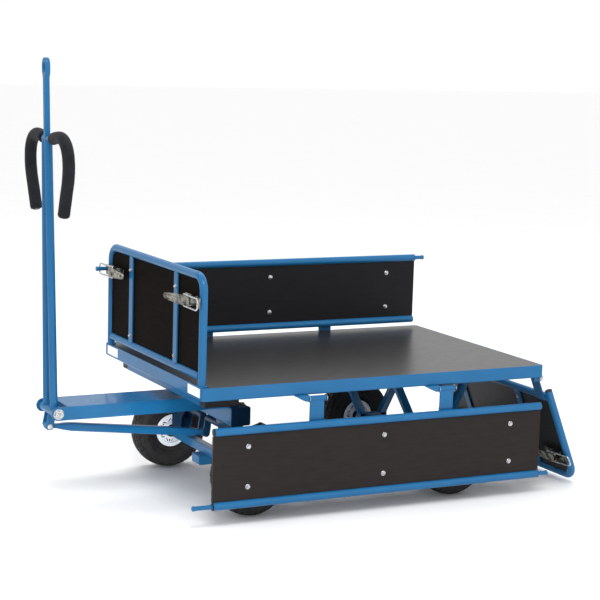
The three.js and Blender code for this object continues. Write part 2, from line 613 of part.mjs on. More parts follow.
// An inverted U of tube with a lower rail, two flat uprights and, on the rear, hinge arms.
function endFrame(face) {
  const corners = [vec(0, -POST_Y, GAP), vec(0, -POST_Y, END_HIGH), vec(0, POST_Y, END_HIGH),
    vec(0, POST_Y, GAP)];
  const adds = [tube(bentRoute(corners, BEND_R), TUBE_R), barY(-POST_Y, POST_Y, 0, END_LOW, TUBE_R)];
  for (const side of [1, -1]) {
    adds.push(box(face * 4, face * 9, side * (END_BAR_Y - 15), side * (END_BAR_Y + 15), END_LOW, END_HIGH));
  }
  if (face > 0) return shape(adds);
  const axis = HINGE_Z - DECK_TOP;
  for (const side of [1, -1]) {
    const middle = side * END_HINGE_Y;
    adds.push(box(-17.5, -11.5, middle - 24, middle + 24, axis, END_LOW + 6));
    adds.push(barY(middle - KNUCKLE.end, middle + KNUCKLE.end, -END_INSET, axis, KNUCKLE.r));
  }
  return shape(adds, [barY(-POST_Y, POST_Y, -END_INSET, axis, KNUCKLE.bore)]);
}

function endWall(name, face, parent, openAngles) {
  node(`${name}_wall_frame`, endFrame(face), BLUE, parent);
  node(`${name}_wall_panel`, endPanel(face), PLY, parent);
  for (const [hand, side] of SIDES) {
    node(`latch_base_${name}_${hand}`, latchBase(face, side), ZINC, parent);
    const lever = new THREE.Group();
    lever.position.set(face * LEVER.pivotX, side * LEVER.pivotY, LATCH_Z);
    lever.rotation.z = face * side * THREE.MathUtils.degToRad(openAngles[hand]);
    parent.add(lever);
    node(`latch_lever_${name}_${hand}`, leverGeometry(face, side), ZINC, lever);
    const bail = new THREE.Group();
    bail.position.set(face * (LEVER.bailX - LEVER.pivotX), side * (LEVER.bailY - LEVER.pivotY), 0);
    bail.rotation.z = -lever.rotation.z;
    lever.add(bail);
    node(`latch_bail_${name}_${hand}`, bailGeometry(face, side), ZINC, bail);
  }
}

const frontWall = new THREE.Group();
frontWall.position.set(END_PLANE, 0, DECK_TOP);
root.add(frontWall);
endWall('front', 1, frontWall, { left: LEVER_OPEN, right: 0 });

const rearSwing = new THREE.Group();
rearSwing.position.set(-END_PLANE - END_INSET, 0, HINGE_Z);
rearSwing.rotation.y = -THREE.MathUtils.degToRad(REAR_WALL_DROP);
root.add(rearSwing);
const rearWall = new THREE.Group();
rearWall.position.set(END_INSET, 0, DECK_TOP - HINGE_Z);
rearSwing.add(rearWall);
endWall('rear', -1, rearWall, { left: 0, right: 0 });

// ---- origin at the bottom centre of the whole cart's box ------------------------------
const extent = new THREE.Box3().setFromObject(root, true);
const group = new THREE.Group();
root.position.set(-(extent.min.x + extent.max.x) / 2, -(extent.min.y + extent.max.y) / 2, -extent.min.z);
group.add(root);

export default group;
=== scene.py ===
import json
import math

import bmesh
import bpy
from mathutils import Matrix, Vector, noise


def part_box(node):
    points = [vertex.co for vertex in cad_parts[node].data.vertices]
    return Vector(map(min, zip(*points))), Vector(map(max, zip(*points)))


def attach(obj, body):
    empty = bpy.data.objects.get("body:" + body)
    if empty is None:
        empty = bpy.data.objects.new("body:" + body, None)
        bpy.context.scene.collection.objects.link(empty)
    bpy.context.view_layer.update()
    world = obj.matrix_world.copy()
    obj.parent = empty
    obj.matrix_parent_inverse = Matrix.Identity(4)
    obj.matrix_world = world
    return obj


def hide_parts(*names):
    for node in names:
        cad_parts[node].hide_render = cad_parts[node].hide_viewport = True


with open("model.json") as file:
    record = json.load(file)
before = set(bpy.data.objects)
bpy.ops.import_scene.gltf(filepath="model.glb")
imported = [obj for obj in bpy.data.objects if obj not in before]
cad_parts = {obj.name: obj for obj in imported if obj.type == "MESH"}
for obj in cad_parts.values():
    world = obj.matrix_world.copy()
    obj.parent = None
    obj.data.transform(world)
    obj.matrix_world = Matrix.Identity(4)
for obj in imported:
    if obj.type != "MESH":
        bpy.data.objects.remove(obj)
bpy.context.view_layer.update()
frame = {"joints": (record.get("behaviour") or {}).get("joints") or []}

# ---- places and sizes, from the frame, in metres -------------------------------------
JOINT = {j["name"]: j for j in frame["joints"]}
board_lo, board_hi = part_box("deck_board")
ORIGIN = Vector(((board_lo.x + board_hi.x) / 2, (board_lo.y + board_hi.y) / 2, 0))
CART = Matrix.Translation(ORIGIN)                  # the cart's own frame, over its middle
GAP = 0.0003
TUBE = 0.0125                                      # radius of the wall and drawbar tubes
HALF_L = board_hi.x - ORIGIN.x + 0.0043            # outside of the platform frame
HALF_W = board_hi.y - ORIGIN.y + 0.0043
DECK = board_hi.z
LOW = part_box("rear_bracket_left")[1].z + GAP       # underside of the platform frame
AXLE_FRONT = Vector(JOINT["wheel_front_left_spin"]["pos_m"]) - ORIGIN
AXLE_REAR = Vector(JOINT["wheel_rear_left_spin"]["pos_m"]) - ORIGIN
PIVOT = Vector(JOINT["drawbar_tilt"]["pos_m"]) - ORIGIN
POLE_LEAN = math.radians(1.2)
END_PLANE = HALF_L - 0.010                         # tube plane of the upright end walls
END_INSET = 0.018                                  # rear hinge axis to the tube plane
SHAFT = Vector(JOINT["brake_shaft_turn"]["pos_m"]) - ORIGIN
SHOE = SHAFT + Vector((-0.069, 0, 0.020))          # middle of the brake shoes
HINGE_X = (0.233, -0.237)                          # middles of the side wall hinges
HINGE_Z = JOINT["left_wall_fold"]["pos_m"][2]
END_HINGE_Y = 0.349
END_BAR_Y = 0.190
LATCH_Z = 0.257
LEVER_PIVOT = Vector((0.026, 0.330, LATCH_Z))      # from the end wall's plane, on the deck
LEVER_LENGTH = 0.130
BAIL_PIVOT = Vector((0.028, 0.308, LATCH_Z))
SIDES = (("left", 1), ("right", -1))


# ---- procedural materials ------------------------------------------------------------
class Shader:
    """A principled material with noise-driven colour, roughness and bump."""

    def __init__(self, name, roughness, metallic=0.0, stretch=(1, 1, 1), **sockets):
        self.material = bpy.data.materials.new(name)
        self.material.use_nodes = True
        self.tree = self.material.node_tree
        self.surface = self.tree.nodes["Principled BSDF"]
        self.surface.inputs["Roughness"].default_value = roughness
        self.surface.inputs["Metallic"].default_value = metallic
        for socket, value in sockets.items():
            self.surface.inputs[socket.replace("_", " ")].default_value = value
        place = self.node("ShaderNodeTexCoord").outputs["Object"]
        mapping = self.node("ShaderNodeMapping")
        mapping.inputs["Scale"].default_value = stretch
        self.link(place, mapping.inputs["Vector"])
        self.place = mapping.outputs["Vector"]

    def node(self, kind):
        return self.tree.nodes.new(kind)

    def link(self, a, b):
        self.tree.links.new(a, b)

    def noise(self, scale, detail=4.0, rough=0.55):
        made = self.node("ShaderNodeTexNoise")
        made.inputs["Scale"].default_value = scale
        made.inputs["Detail"].default_value = detail
        made.inputs["Roughness"].default_value = rough
        self.link(self.place, made.inputs["Vector"])
        return made.outputs["Fac"]

    def cells(self, scale):
        made = self.node("ShaderNodeTexVoronoi")
        made.inputs["Scale"].default_value = scale
        self.link(self.place, made.inputs["Vector"])
        return made.outputs["Distance"]

    def roughness(self, factor, low, high):
        """Drives the roughness over a range by the middle values of a texture."""
        made = self.node("ShaderNodeMapRange")
        made.inputs["From Min"].default_value = 0.35
        made.inputs["From Max"].default_value = 0.65
        made.inputs["To Min"].default_value = low
        made.inputs["To Max"].default_value = high
        self.link(factor, made.inputs["Value"])
        self.link(made.outputs["Result"], self.surface.inputs["Roughness"])

    def colours(self, factor, stops):
        """Sets the base colour from a ramp over a texture value."""
        ramp = self.node("ShaderNodeValToRGB")
        elements = ramp.color_ramp.elements
        for i, (at, colour) in enumerate(stops):
            element = elements[i] if i < 2 else elements.new(at)
            element.position = at
            element.color = (*colour, 1)
        self.link(factor, ramp.inputs["Fac"])
        self.link(ramp.outputs["Color"], self.surface.inputs["Base Color"])

    def bump(self, factor, distance, strength=1.0):
        made = self.node("ShaderNodeBump")
        made.inputs["Distance"].default_value = distance
        made.inputs["Strength"].default_value = strength
        self.link(factor, made.inputs["Height"])
        previous = self.surface.inputs["Normal"].links
        if previous:
            self.link(previous[0].from_socket, made.inputs["Normal"])
        self.link(made.outputs["Normal"], self.surface.inputs["Normal"])


def powder_coat(name, dark, light, low, high):
    s = Shader(name, low, Specular_IOR_Level=0.04, Coat_Weight=0.4, Coat_Roughness=0.12)
    s.colours(s.noise(9, 5), [(0.35, dark), (0.65, light)])
    s.roughness(s.noise(60, 3), low, high)
    s.bump(s.noise(420, 2), 0.00012, 0.5)
    s.bump(s.noise(35, 2), 0.0004, 0.12)
    return s.material


def plating(name, dark, light, patch=120, start=0.38, end=0.62):
    s = Shader(name, 0.3, metallic=1.0)
    s.colours(s.noise(patch, 6, 0.6), [(start, dark), (end, light)])
    s.roughness(s.noise(260, 4), 0.16, 0.36)
    s.bump(s.noise(900, 3), 0.00006, 0.5)
    return s.material


def film_ply(name, stretch, dark, light, low, high, gloss):
    """Phenolic film on plywood: faint fibre streaks along the grain under a satin film."""
    s = Shader(name, low, stretch=stretch, Specular_IOR_Level=gloss)
    s.colours(s.noise(14, 8, 0.6), [(0.3, dark), (0.7, light)])
    s.roughness(s.noise(30, 6, 0.65), low, high)
    s.bump(s.noise(55, 6, 0.7), 0.0003, 0.04)
    return s.material


def tyre_rubber():
    dark, light = (0.007, 0.0065, 0.0065), (0.015, 0.014, 0.014)
    s = Shader("tyre_rubber", 0.7, Specular_IOR_Level=0.35)
    s.colours(s.noise(22, 6, 0.6), [(0.3, dark), (0.7, light)])
    s.roughness(s.noise(70, 4), 0.55, 0.8)
    s.bump(s.noise(500, 4, 0.7), 0.0003, 0.35)
    return s.material


def foam():
    dark, light = (0.0065, 0.0070, 0.0090), (0.013, 0.014, 0.0175)
    s = Shader("grip_foam", 0.85, Specular_IOR_Level=0.18, Sheen_Weight=0.04, Sheen_Roughness=0.5)
    s.colours(s.noise(30, 5, 0.6), [(0.3, dark), (0.7, light)])
    s.bump(s.cells(900), 0.0004, 0.5)
    s.bump(s.noise(90, 4), 0.0006, 0.15)
    return s.material


def moulded(name, dark, light, low=0.35, high=0.5, gloss=0.5):
    s = Shader(name, low, Specular_IOR_Level=gloss)
    s.colours(s.noise(40, 4), [(0.3, dark), (0.7, light)])
    s.roughness(s.noise(90, 3), low, high)
    s.bump(s.noise(700, 3), 0.00015, 0.4)
    return s.material


ALONG_X, ALONG_Y = (1, 7, 7), (7, 1, 7)            # which way a board's grain runs
BLUE = powder_coat("blue_coat", (0.009, 0.110, 0.262), (0.012, 0.122, 0.285), 0.30, 0.40)
# A darker copy of the blue coat: painted shade, used for the bolster's ends, the front brackets, the brake
# cross shaft and the handle bar.
NAVY_PAINTED_SHADE = powder_coat("navy_coat_painted_shade", (0.004, 0.026, 0.064), (0.006, 0.034, 0.080), 0.32, 0.44)
ZINC = plating("zinc", (0.30, 0.31, 0.32), (0.66, 0.67, 0.68))
YELLOW_ZINC = plating("yellow_zinc", (0.050, 0.047, 0.036), (0.40, 0.39, 0.34), 40, 0.36, 0.64)
DECK_FILM = film_ply("deck_film", ALONG_X, (0.015, 0.013, 0.012), (0.022, 0.019, 0.018),
                     0.28, 0.36, 0.36)
# The wall panels are one film ply; the far, front and rear walls' copies below are darker: painted shade.
WALL_FILM = film_ply("wall_film", ALONG_X, (0.011, 0.008, 0.0075), (0.017, 0.013, 0.012),
                     0.38, 0.5, 0.16)
FAR_FILM_PAINTED_SHADE = film_ply("far_film_painted_shade", ALONG_X, (0.0062, 0.0064, 0.0080), (0.0095, 0.0095, 0.0115),
                    0.34, 0.46, 0.12)
END_FILM_PAINTED_SHADE = film_ply("end_film_painted_shade", ALONG_Y, (0.0045, 0.0032, 0.0024), (0.0068, 0.0048, 0.0036),
                    0.40, 0.52, 0.006)
REAR_FILM_PAINTED_SHADE = film_ply("rear_film_painted_shade", ALONG_Y, (0.0034, 0.0040, 0.0050), (0.0055, 0.0062, 0.0078),
                     0.30, 0.40, 0.16)
RUBBER = tyre_rubber()
FOAM = foam()
RIM_GREY = moulded("rim_grey", (0.78, 0.81, 0.87), (0.86, 0.89, 0.95), 0.35, 0.5)
BLACK = moulded("black_plastic", (0.006, 0.0055, 0.0055), (0.011, 0.010, 0.010), gloss=0.2)
LABEL = moulded("blank_label", (0.80, 0.81, 0.83), (0.88, 0.89, 0.90), 0.3, 0.4)


# ---- mesh building -------------------------------------------------------------------
def circle(radius, sides=24, start=0.0):
    step = 2 * math.pi / sides
    angles = [start + i * step for i in range(sides)]
    return [(radius * math.cos(a), radius * math.sin(a)) for a in angles]


def arc(u, v, radius, first, last, steps):
    """Points round a centre between two angles in degrees."""
    angles = [math.radians(first + (last - first) * k / steps) for k in range(steps + 1)]
    return [(u + radius * math.cos(a), v + radius * math.sin(a)) for a in angles]


def rounded(half_x, half_y, radius, steps=4):
    """A rectangle with round corners, anticlockwise."""
    points = []
    for sx, sy, first in ((1, -1, -90), (1, 1, 0), (-1, 1, 90), (-1, -1, 180)):
        x, y = sx * (half_x - radius), sy * (half_y - radius)
        points += arc(x, y, radius, first, first + 90, steps)
    return points


def arc_path(corners, radius, steps=8):
    """Straight runs through corners, with an arc at each inner one."""
    points = [Vector(corners[0])]
    for before, at, after in zip(corners, corners[1:], corners[2:]):
        at = Vector(at)
        into, out = (Vector(before) - at).normalized(), (Vector(after) - at).normalized()
        half = into.angle(out) / 2
        centre = at + (into + out).normalized() * radius / math.sin(half)
        start = at + into * radius / math.tan(half) - centre
        end = at + out * radius / math.tan(half) - centre
        axis, sweep = start.cross(end).normalized(), start.angle(end)
        for k in range(steps + 1):
            points.append(centre + Matrix.Rotation(sweep * k / steps, 3, axis) @ start)
    return points + [Vector(corners[-1])]


def smooth_path(points, per_span=6):
    """A Catmull-Rom curve through the points."""
    p = [Vector(q) for q in points]
    p = [2 * p[0] - p[1], *p, 2 * p[-1] - p[-2]]
    curve = []
    for a, b, c, d in zip(p, p[1:], p[2:], p[3:]):
        for k in range(per_span):
            t = k / per_span
            curve.append(0.5 * (2 * b + (c - a) * t + (2 * a - 5 * b + 4 * c - d) * t * t
                                + (3 * b - a - 3 * c + d) * t ** 3))
    return curve + [p[-2]]


BEVEL_ANGLE = math.radians(30)


class Piece:
    """One named piece: shells are built in a local frame, then it rides a body."""

    def __init__(self, name, body, material, place=CART):
        self.name, self.body, self.material, self.place = name, body, material, place
        self.bm = bmesh.new()

    def add(self, bm, bevel=0.0):
        """Takes a shell into the piece, its edges over 30 degrees bevelled."""
        if bevel:
            bm.normal_update()
            edges = [e for e in bm.edges if e.calc_face_angle(0) > BEVEL_ANGLE]
            bmesh.ops.bevel(bm, geom=edges, offset=bevel, segments=2, profile=0.5,
                            affect="EDGES", clamp_overlap=True)
        bmesh.ops.recalc_face_normals(bm, faces=bm.faces)
        mesh = bpy.data.meshes.new("shell")
        bm.to_mesh(mesh)
        bm.free()
        self.bm.from_mesh(mesh)
        bpy.data.meshes.remove(mesh)

    def block(self, x, y, z, bevel=0.0012):
        """A bevelled bar between pairs of x, y and z."""
        bm = bmesh.new()
        bmesh.ops.create_cube(bm, size=1)
        size = [abs(b - a) for a, b in (x, y, z)]
        middle = [(a + b) / 2 for a, b in (x, y, z)]
        bm.transform(Matrix.Translation(middle) @ Matrix.Diagonal((*size, 1)))
        self.add(bm, min(bevel, min(size) * 0.3))

    def plate(self, outline, axis, a, b, holes=(), bevel=0.0008):
        """An outline across an axis, with holes, thick from a to b."""
        bm = bmesh.new()
        across = "xyz".index(axis)
        edges = []
        for loop in (outline, *holes):
            verts = [bm.verts.new((*point[:across], a, *point[across:])) for point in loop]
            edges += [bm.edges.new((v, verts[i - 1])) for i, v in enumerate(verts)]
        if holes:
            bmesh.ops.triangle_fill(bm, use_beauty=True, edges=edges)
        else:
            bm.faces.new(verts)
        shift = Vector()
        shift[across] = b - a
        made = bmesh.ops.extrude_face_region(bm, geom=bm.faces[:])
        moved = [g for g in made["geom"] if isinstance(g, bmesh.types.BMVert)]
        bmesh.ops.translate(bm, verts=moved, vec=shift)
        self.add(bm, bevel)

    def sweep(self, path, section, closed=False, scale=None, up=None):
        """A closed section carried along a path without twist; scale is a size at each point."""
        path = [Vector(p) for p in path]
        count = len(path)
        bm = bmesh.new()
        tangents = []
        for i in range(count):
            before = path[i - 1] if closed or i else path[i]
            after = path[(i + 1) % count] if closed or i < count - 1 else path[i]
            tangents.append((after - before).normalized())
        side = Vector(up) if up else tangents[0].orthogonal()
        side = (side - tangents[0] * side.dot(tangents[0])).normalized()
        rings = []
        for i, (p, t) in enumerate(zip(path, tangents)):
            side = (side - t * side.dot(t)).normalized()
            other = t.cross(side)
            mitre, bend = 1.0, Vector()
            if 0 < i < count - 1 or closed:
                onward = (path[(i + 1) % count] - p).normalized()
                mitre = 1 / max(onward.dot(t), 0.5)
                bend = onward - (p - path[i - 1]).normalized()
                bend -= t * bend.dot(t)
            bend = bend.normalized() if bend.length > 1e-6 else Vector()
            size = scale[i] if scale else (1, 1)
            ring = []
            for u, v in section:
                offset = side * u * size[0] + other * v * size[1]
                offset += bend * offset.dot(bend) * (mitre - 1)
                ring.append(bm.verts.new(p + offset))
            rings.append(ring)
        pairs = list(zip(rings, rings[1:])) + ([(rings[-1], rings[0])] if closed else [])
        n = len(section)
        for a, b in pairs:
            for k in range(n):
                bm.faces.new((a[k], a[(k + 1) % n], b[(k + 1) % n], b[k]))
        if not closed:
            bm.faces.new(rings[0][::-1])
            bm.faces.new(rings[-1])
        self.add(bm)

    def rod(self, a, b, radius, sides=24, chamfer=0.0008):
        a, b = Vector(a), Vector(b)
        run = (b - a).normalized()
        steps = [a, a + run * chamfer, b - run * chamfer, b]
        inner = 1 - chamfer / radius
        scale = [(inner, inner), (1, 1), (1, 1), (inner, inner)]
        self.sweep(steps, circle(radius, sides), scale=scale)

    def pipe(self, path, radius, sides=24):
        self.sweep(path, circle(radius, sides))

    def turn(self, profile, origin, axis, segments=48):
        """A profile of (radius, distance along the axis) turned about it; ends on it or closed."""
        bm = bmesh.new()
        axis = Vector(axis).normalized()
        side = axis.orthogonal().normalized()
        other = axis.cross(side)
        closed = profile[0] == profile[-1]
        points = profile[:-1] if closed else profile
        rings = []
        for radius, along in points:
            if radius < 1e-7:
                rings.append([bm.verts.new(Vector(origin) + axis * along)])
                continue
            rings.append([bm.verts.new(Vector(origin) + axis * along + (side * c + other * s))
                          for c, s in circle(radius, segments)])
        for a, b in list(zip(rings, rings[1:])) + ([(rings[-1], rings[0])] if closed else []):
            for k in range(segments):
                m = (k + 1) % segments
                if len(a) == 1 and len(b) > 1:
                    bm.faces.new((a[0], b[m], b[k]))
                elif len(b) == 1 and len(a) > 1:
                    bm.faces.new((a[k], a[m], b[0]))
                elif len(a) > 1:
                    bm.faces.new((a[k], a[m], b[m], b[k]))
        self.add(bm)

    def collar(self, at, axis, bore, radius, low, high, cut=(0, 0), segments=32):
        """A ring between two distances along an axis, its outer edges cut back by cut."""
        outside = [(radius, low), (radius, high)]
        if any(cut):
            outside = [(radius - cut[0], low), (radius, low + cut[1]),
                       (radius, high - cut[1]), (radius - cut[0], high)]
        self.turn([(bore, low), *outside, (bore, high), (bore, low)], at, axis, segments)

    def pin_head(self, at, out):
        """A button head on the end of a hinge pin."""
        self.turn([(0, 0.0042), (0.004, 0.0040), (0.0075, 0.0028), (0.009, 0), (0, 0)],
                         at, out, 24)

    def hexagon(self, a, b, radius, bevel=0.0008):
        """A six-sided nut or head between two points."""
        a, b = Vector(a), Vector(b)
        step = (b - a).normalized() * bevel
        inner = 1 - bevel / radius
        self.sweep([a, a + step, b - step, b], circle(radius, 6, 0.2),
                          scale=[(inner, inner), (1, 1), (1, 1), (inner, inner)])

    def dome(self, at, out, radius, height):
        """A low domed head standing on a face."""
        profile = [(radius * math.cos(a), height * math.sin(a)) for a in
                   (math.radians(15 * k) for k in range(6))]
        self.turn([(0, -0.002), (radius, -0.002), *profile, (0, height)], at, out, 28)

    def bead(self, a, b, radius=0.003):
        """A weld bead with its ripples."""
        a, b = Vector(a), Vector(b)
        count = max(4, round((b - a).length / 0.0022))
        path = [a.lerp(b, i / count) for i in range(count + 1)]
        sizes = []
        for i, p in enumerate(path):
            taper = min(1, 0.35 + min(i, count - i) * 0.4)
            swell = taper * (1 + 0.16 * math.sin(i * 2.1 + 1) + 0.12 * noise.noise(p * 300))
            sizes.append((swell, swell))
        self.sweep(path, circle(radius, 8), scale=sizes)

    def done(self, *nodes, sharp=32):
        mesh = bpy.data.meshes.new(self.name)
        self.bm.to_mesh(mesh)
        self.bm.free()
        mesh.transform(self.place)
        if self.place.determinant() < 0:
            mesh.flip_normals()
        mesh.shade_smooth()
        mesh.set_sharp_from_angle(angle=math.radians(sharp))
        mesh.materials.append(self.material)
        made = bpy.data.objects.new(self.name, mesh)
        bpy.context.scene.collection.objects.link(made)
        weighted = made.modifiers.new("weighted", "WEIGHTED_NORMAL")
        weighted.keep_sharp = True
        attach(made, self.body)
        if nodes:
            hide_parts(*nodes)
        return made


# ---- platform ------------------------------------------------------------------------
FRAME_H = DECK - LOW
SHEET = 0.004
LEDGE = board_lo.z - GAP
LUG_NEAR, LUG_FAR = 0.031, 0.075
POST_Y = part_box("front_wall_panel")[1].y - ORIGIN.y + TUBE + GAP
BEAM_Y = 0.200
CROSS_X0, CROSS_X1, CARRIER_X0 = 0.463, 0.580, 0.330
CARRIER_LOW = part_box("turntable_upper_ring")[1].z + GAP
TIE_X = (0.0, -0.450)                              # middles of the cross ties
FOOT_X, FOOT_Y = 0.594, 0.374                      # notches in the deck round the front posts


def inset_outline(inset, radius):
    return rounded(HALF_L - inset, HALF_W - inset, radius, 6)


def platform():
    p = Piece("platform", "chassis", BLUE)
    low = FRAME_H / 2
    wall = [(low - 0.001, 0), (low, -0.001), (low, -SHEET + 0.001), (low - 0.001, -SHEET),
            (-low + SHEET, -SHEET), (-low + 0.0005, -0.009), (-low, -0.009), (-low, -0.005),
            (-low + 0.0008, -0.0022), (-low + 0.0025, -0.0006), (-low + 0.005, 0)]
    path = [(x, y, LOW + low) for x, y in inset_outline(0, 0.012)]
    p.sweep(path, wall, closed=True, up=(0, 0, 1))
    flange = rounded(HALF_L - 0.034, HALF_W - 0.034, 0.002, 1)
    p.plate(inset_outline(0.006, 0.008), "z", LOW, LOW + SHEET, [flange], bevel=0.0005)
    ledge = rounded(HALF_L - 0.020, HALF_W - 0.020, 0.002, 1)
    p.plate(inset_outline(0.002, 0.010), "z", LEDGE - SHEET, LEDGE, [ledge], bevel=0)
    end = HALF_L - 0.002
    for side in (1, -1):
        beam = (side * (BEAM_Y - 0.025), side * (BEAM_Y + 0.025))
        p.block((-end, end), beam, (LOW + 0.001, LEDGE), 0.003)
        p.block((FOOT_X + GAP, end), (side * (FOOT_Y + GAP), side * (HALF_W - 0.002)),
                (LOW + 0.002, DECK - 0.001))
        x0, x1, under = -HALF_L - 0.015, -HALF_L + 0.02, LOW + 0.002
        ear = [(x0 + 0.007, HINGE_Z - 0.008), (x1, HINGE_Z - 0.008), (x1, under),
               (x0, under), (x0, HINGE_Z - 0.002)]
        p.plate(ear, "y", side * (END_HINGE_Y + 0.028), side * (END_HINGE_Y + 0.046), bevel=0.0015)
        for x in HINGE_X:
            near, far = x + LUG_NEAR, x + LUG_FAR
            wedge = [(near, under), (near, HINGE_Z - 0.006), (near + 0.002, HINGE_Z - 0.008),
                     (near + 0.012, HINGE_Z - 0.008), (far, LOW - 0.001), (far, under)]
            p.plate(wedge, "y", side * (HALF_W - 0.018), side * (HALF_W + 0.015), bevel=0.0015)
            y = side * (HALF_W + 0.0005)
            p.bead((near, y, LOW), (far, y, LOW), 0.002)
    p.block((CROSS_X0, CROSS_X1), (-0.308, 0.308), (CARRIER_LOW, LOW + 0.020), 0.004)
    p.block((CARRIER_X0, CROSS_X0 + 0.005), (-0.130, 0.130), (CARRIER_LOW + 0.001, LEDGE - 0.002), 0.002)
    for side in (1, -1):
        p.bead((CROSS_X0, side * 0.130, CARRIER_LOW + 0.002), (CROSS_X0, side * 0.130, LOW), 0.003)
        y0, y1 = side * (BEAM_Y - 0.024), side * (BEAM_Y + 0.024)
        for x in (CROSS_X0, CROSS_X1):
            p.bead((x, y0, LOW + 0.001), (x, y1, LOW + 0.001), 0.003)
    for x in TIE_X:
        p.block((x - 0.020, x + 0.020), (-HALF_W + 0.002, HALF_W - 0.002), (LOW + 0.006, LEDGE - 0.001),
                0.003)
        for side in (1, -1):
            y = side * (BEAM_Y - 0.0255)
            for edge in (x - 0.020, x + 0.020):
                p.bead((edge, y, LOW + 0.008), (edge, y, LEDGE - 0.003))
    p.done("platform_frame")
    # Black blocks on the crossmember's ends: painted shade under the frame.
    caps = Piece("crossmember_ends_painted_shade", "chassis", BLACK)
    for side in (1, -1):
        caps.block((CROSS_X0 + 0.0005, CROSS_X1 - 0.0005), (side * 0.3082, side * 0.350),
                   (CARRIER_LOW + 0.0005, LOW - 0.0005), 0.004)
    caps.done()

    d = Piece("deck", "chassis", DECK_FILM)
    x, y = HALF_L - SHEET - GAP, HALF_W - SHEET - GAP
    board = [(-x, -y), (FOOT_X, -y), (FOOT_X, -FOOT_Y), (x, -FOOT_Y), (x, FOOT_Y), (FOOT_X, FOOT_Y),
             (FOOT_X, y), (-x, y)]
    d.plate(board, "z", board_lo.z, DECK, bevel=0.0008)
    d.done("deck_board")


def hinge_pins():
    for name, side in SIDES:
        y = side * (Vector(JOINT["left_wall_fold"]["pos_m"]) - ORIGIN).y
        for x, where in zip(HINGE_X, ("front", "rear")):
            p = Piece(f"pin_{name}_{where}", "chassis", ZINC)
            p.rod((x - 0.030, y, HINGE_Z), (x + 0.044, y, HINGE_Z), 0.0045, 20)
            p.pin_head((x - 0.0305, y, HINGE_Z), (-1, 0, 0))
            for at in (x - 0.0302, x + 0.0292):
                p.collar((at, y, HINGE_Z), (1, 0, 0), 0.0052, 0.0112, 0, 0.0015, segments=28)
            p.done(f"hinge_pin_{name}_{where}")
        p = Piece(f"pin_rear_{name}", "chassis", ZINC)
        x, y0, y1 = -HALF_L - 0.008, side * (END_HINGE_Y - 0.028), side * (END_HINGE_Y + 0.047)
        p.rod((x, y0, HINGE_Z), (x, y1 + side * 0.004, HINGE_Z), 0.0045, 20)
        p.pin_head((x, y0, HINGE_Z), (0, -side, 0))
        p.hexagon((x, y1 - side * 0.0005, HINGE_Z), (x, y1 + side * 0.003, HINGE_Z), 0.008)
        p.done(f"hinge_pin_rear_{name}")


# ---- axles and brackets --------------------------------------------------------------
BEAM_HALF = 0.250
WHEEL_Y = AXLE_FRONT.y
TYRE_HALF = 0.042
BEAM_TOP = 0.0193                                  # from the wheel axis to a bracket's foot
STOP_Z = 0.104


def axle(name, body, at, extra=None):
    place = CART @ Matrix.Translation((at.x, 0, at.z))
    p = Piece(f"{name}_beam", body, BLUE, place)
    p.block((-0.015, 0.015), (-BEAM_HALF, BEAM_HALF), (-0.011, 0.019), 0.0025)
    if extra:
        extra(p)
    p.done(name)
    s = Piece(f"{name}_stubs", body, ZINC, place)
    inner, outer = WHEEL_Y - TYRE_HALF, WHEEL_Y + TYRE_HALF
    for side in (1, -1):
        s.rod((0, side * (BEAM_HALF - 0.002), 0), (0, side * (outer + 0.012), 0), 0.010, 32)
        s.collar((0, side * (inner - 0.0008), 0), (0, -side, 0), 0.0105, 0.0148, 0, 0.002)
        s.collar((0, side * (outer + 0.0006), 0), (0, side, 0), 0.0105, 0.0155, 0, 0.0018)
        s.hexagon((0, side * (outer + 0.0024), 0), (0, side * (outer + 0.0108), 0), 0.0145)
    s.done()


def stop_block(p):
    """The block welded under the front axle."""
    z = STOP_Z - AXLE_FRONT.z
    outline = [(x + 0.001, v + z) for x, v in rounded(0.040, 0.016, 0.006, 5)]
    p.plate(outline, "y", -0.030, 0.030, bevel=0.0018)


def rear_brackets():
    top, low = LOW - GAP, AXLE_REAR.z + BEAM_TOP
    saddle = [(-0.055, low), (0.055, low), (0.055, low + 0.008), (0.050, low + 0.014),
              (-0.050, low + 0.014), (-0.055, low + 0.008)]
    for name, side in SIDES:
        place = CART @ Matrix.Translation((AXLE_REAR.x, side * BEAM_Y, 0))
        p = Piece(f"bracket_rear_{name}", "chassis", BLUE, place)
        p.plate(saddle, "y", -0.0125, 0.0125, bevel=0.001)
        for way in (1, -1):
            foot, head = Vector((way * 0.037, 0, low + 0.006)), Vector((way * 0.152, 0, top - 0.002))
            p.sweep([foot, head], rounded(0.0125, 0.0125, 0.003, 3), up=(0, 1, 0))
            pad = [(head.x + x, y) for x, y in rounded(0.030, 0.024, 0.004, 4)]
            p.plate(pad, "z", top - 0.005, top, bevel=0.0008)
            for y in (-0.013, 0.013):
                p.bead(head + Vector((-0.017, y, -0.004)), head + Vector((0.017, y, -0.004)), 0.0025)
        p.done(f"rear_bracket_{name}")


# ---- steering bogie ------------------------------------------------------------------
STEER = Vector(JOINT["steering"]["pos_m"]) - ORIGIN
BOLSTER_LO, BOLSTER_HI = [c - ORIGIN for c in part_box("bolster_beam")]
ARM_HALF = 0.078
ARM_BOSS = 0.0215                                  # round nose of the arm's cheeks


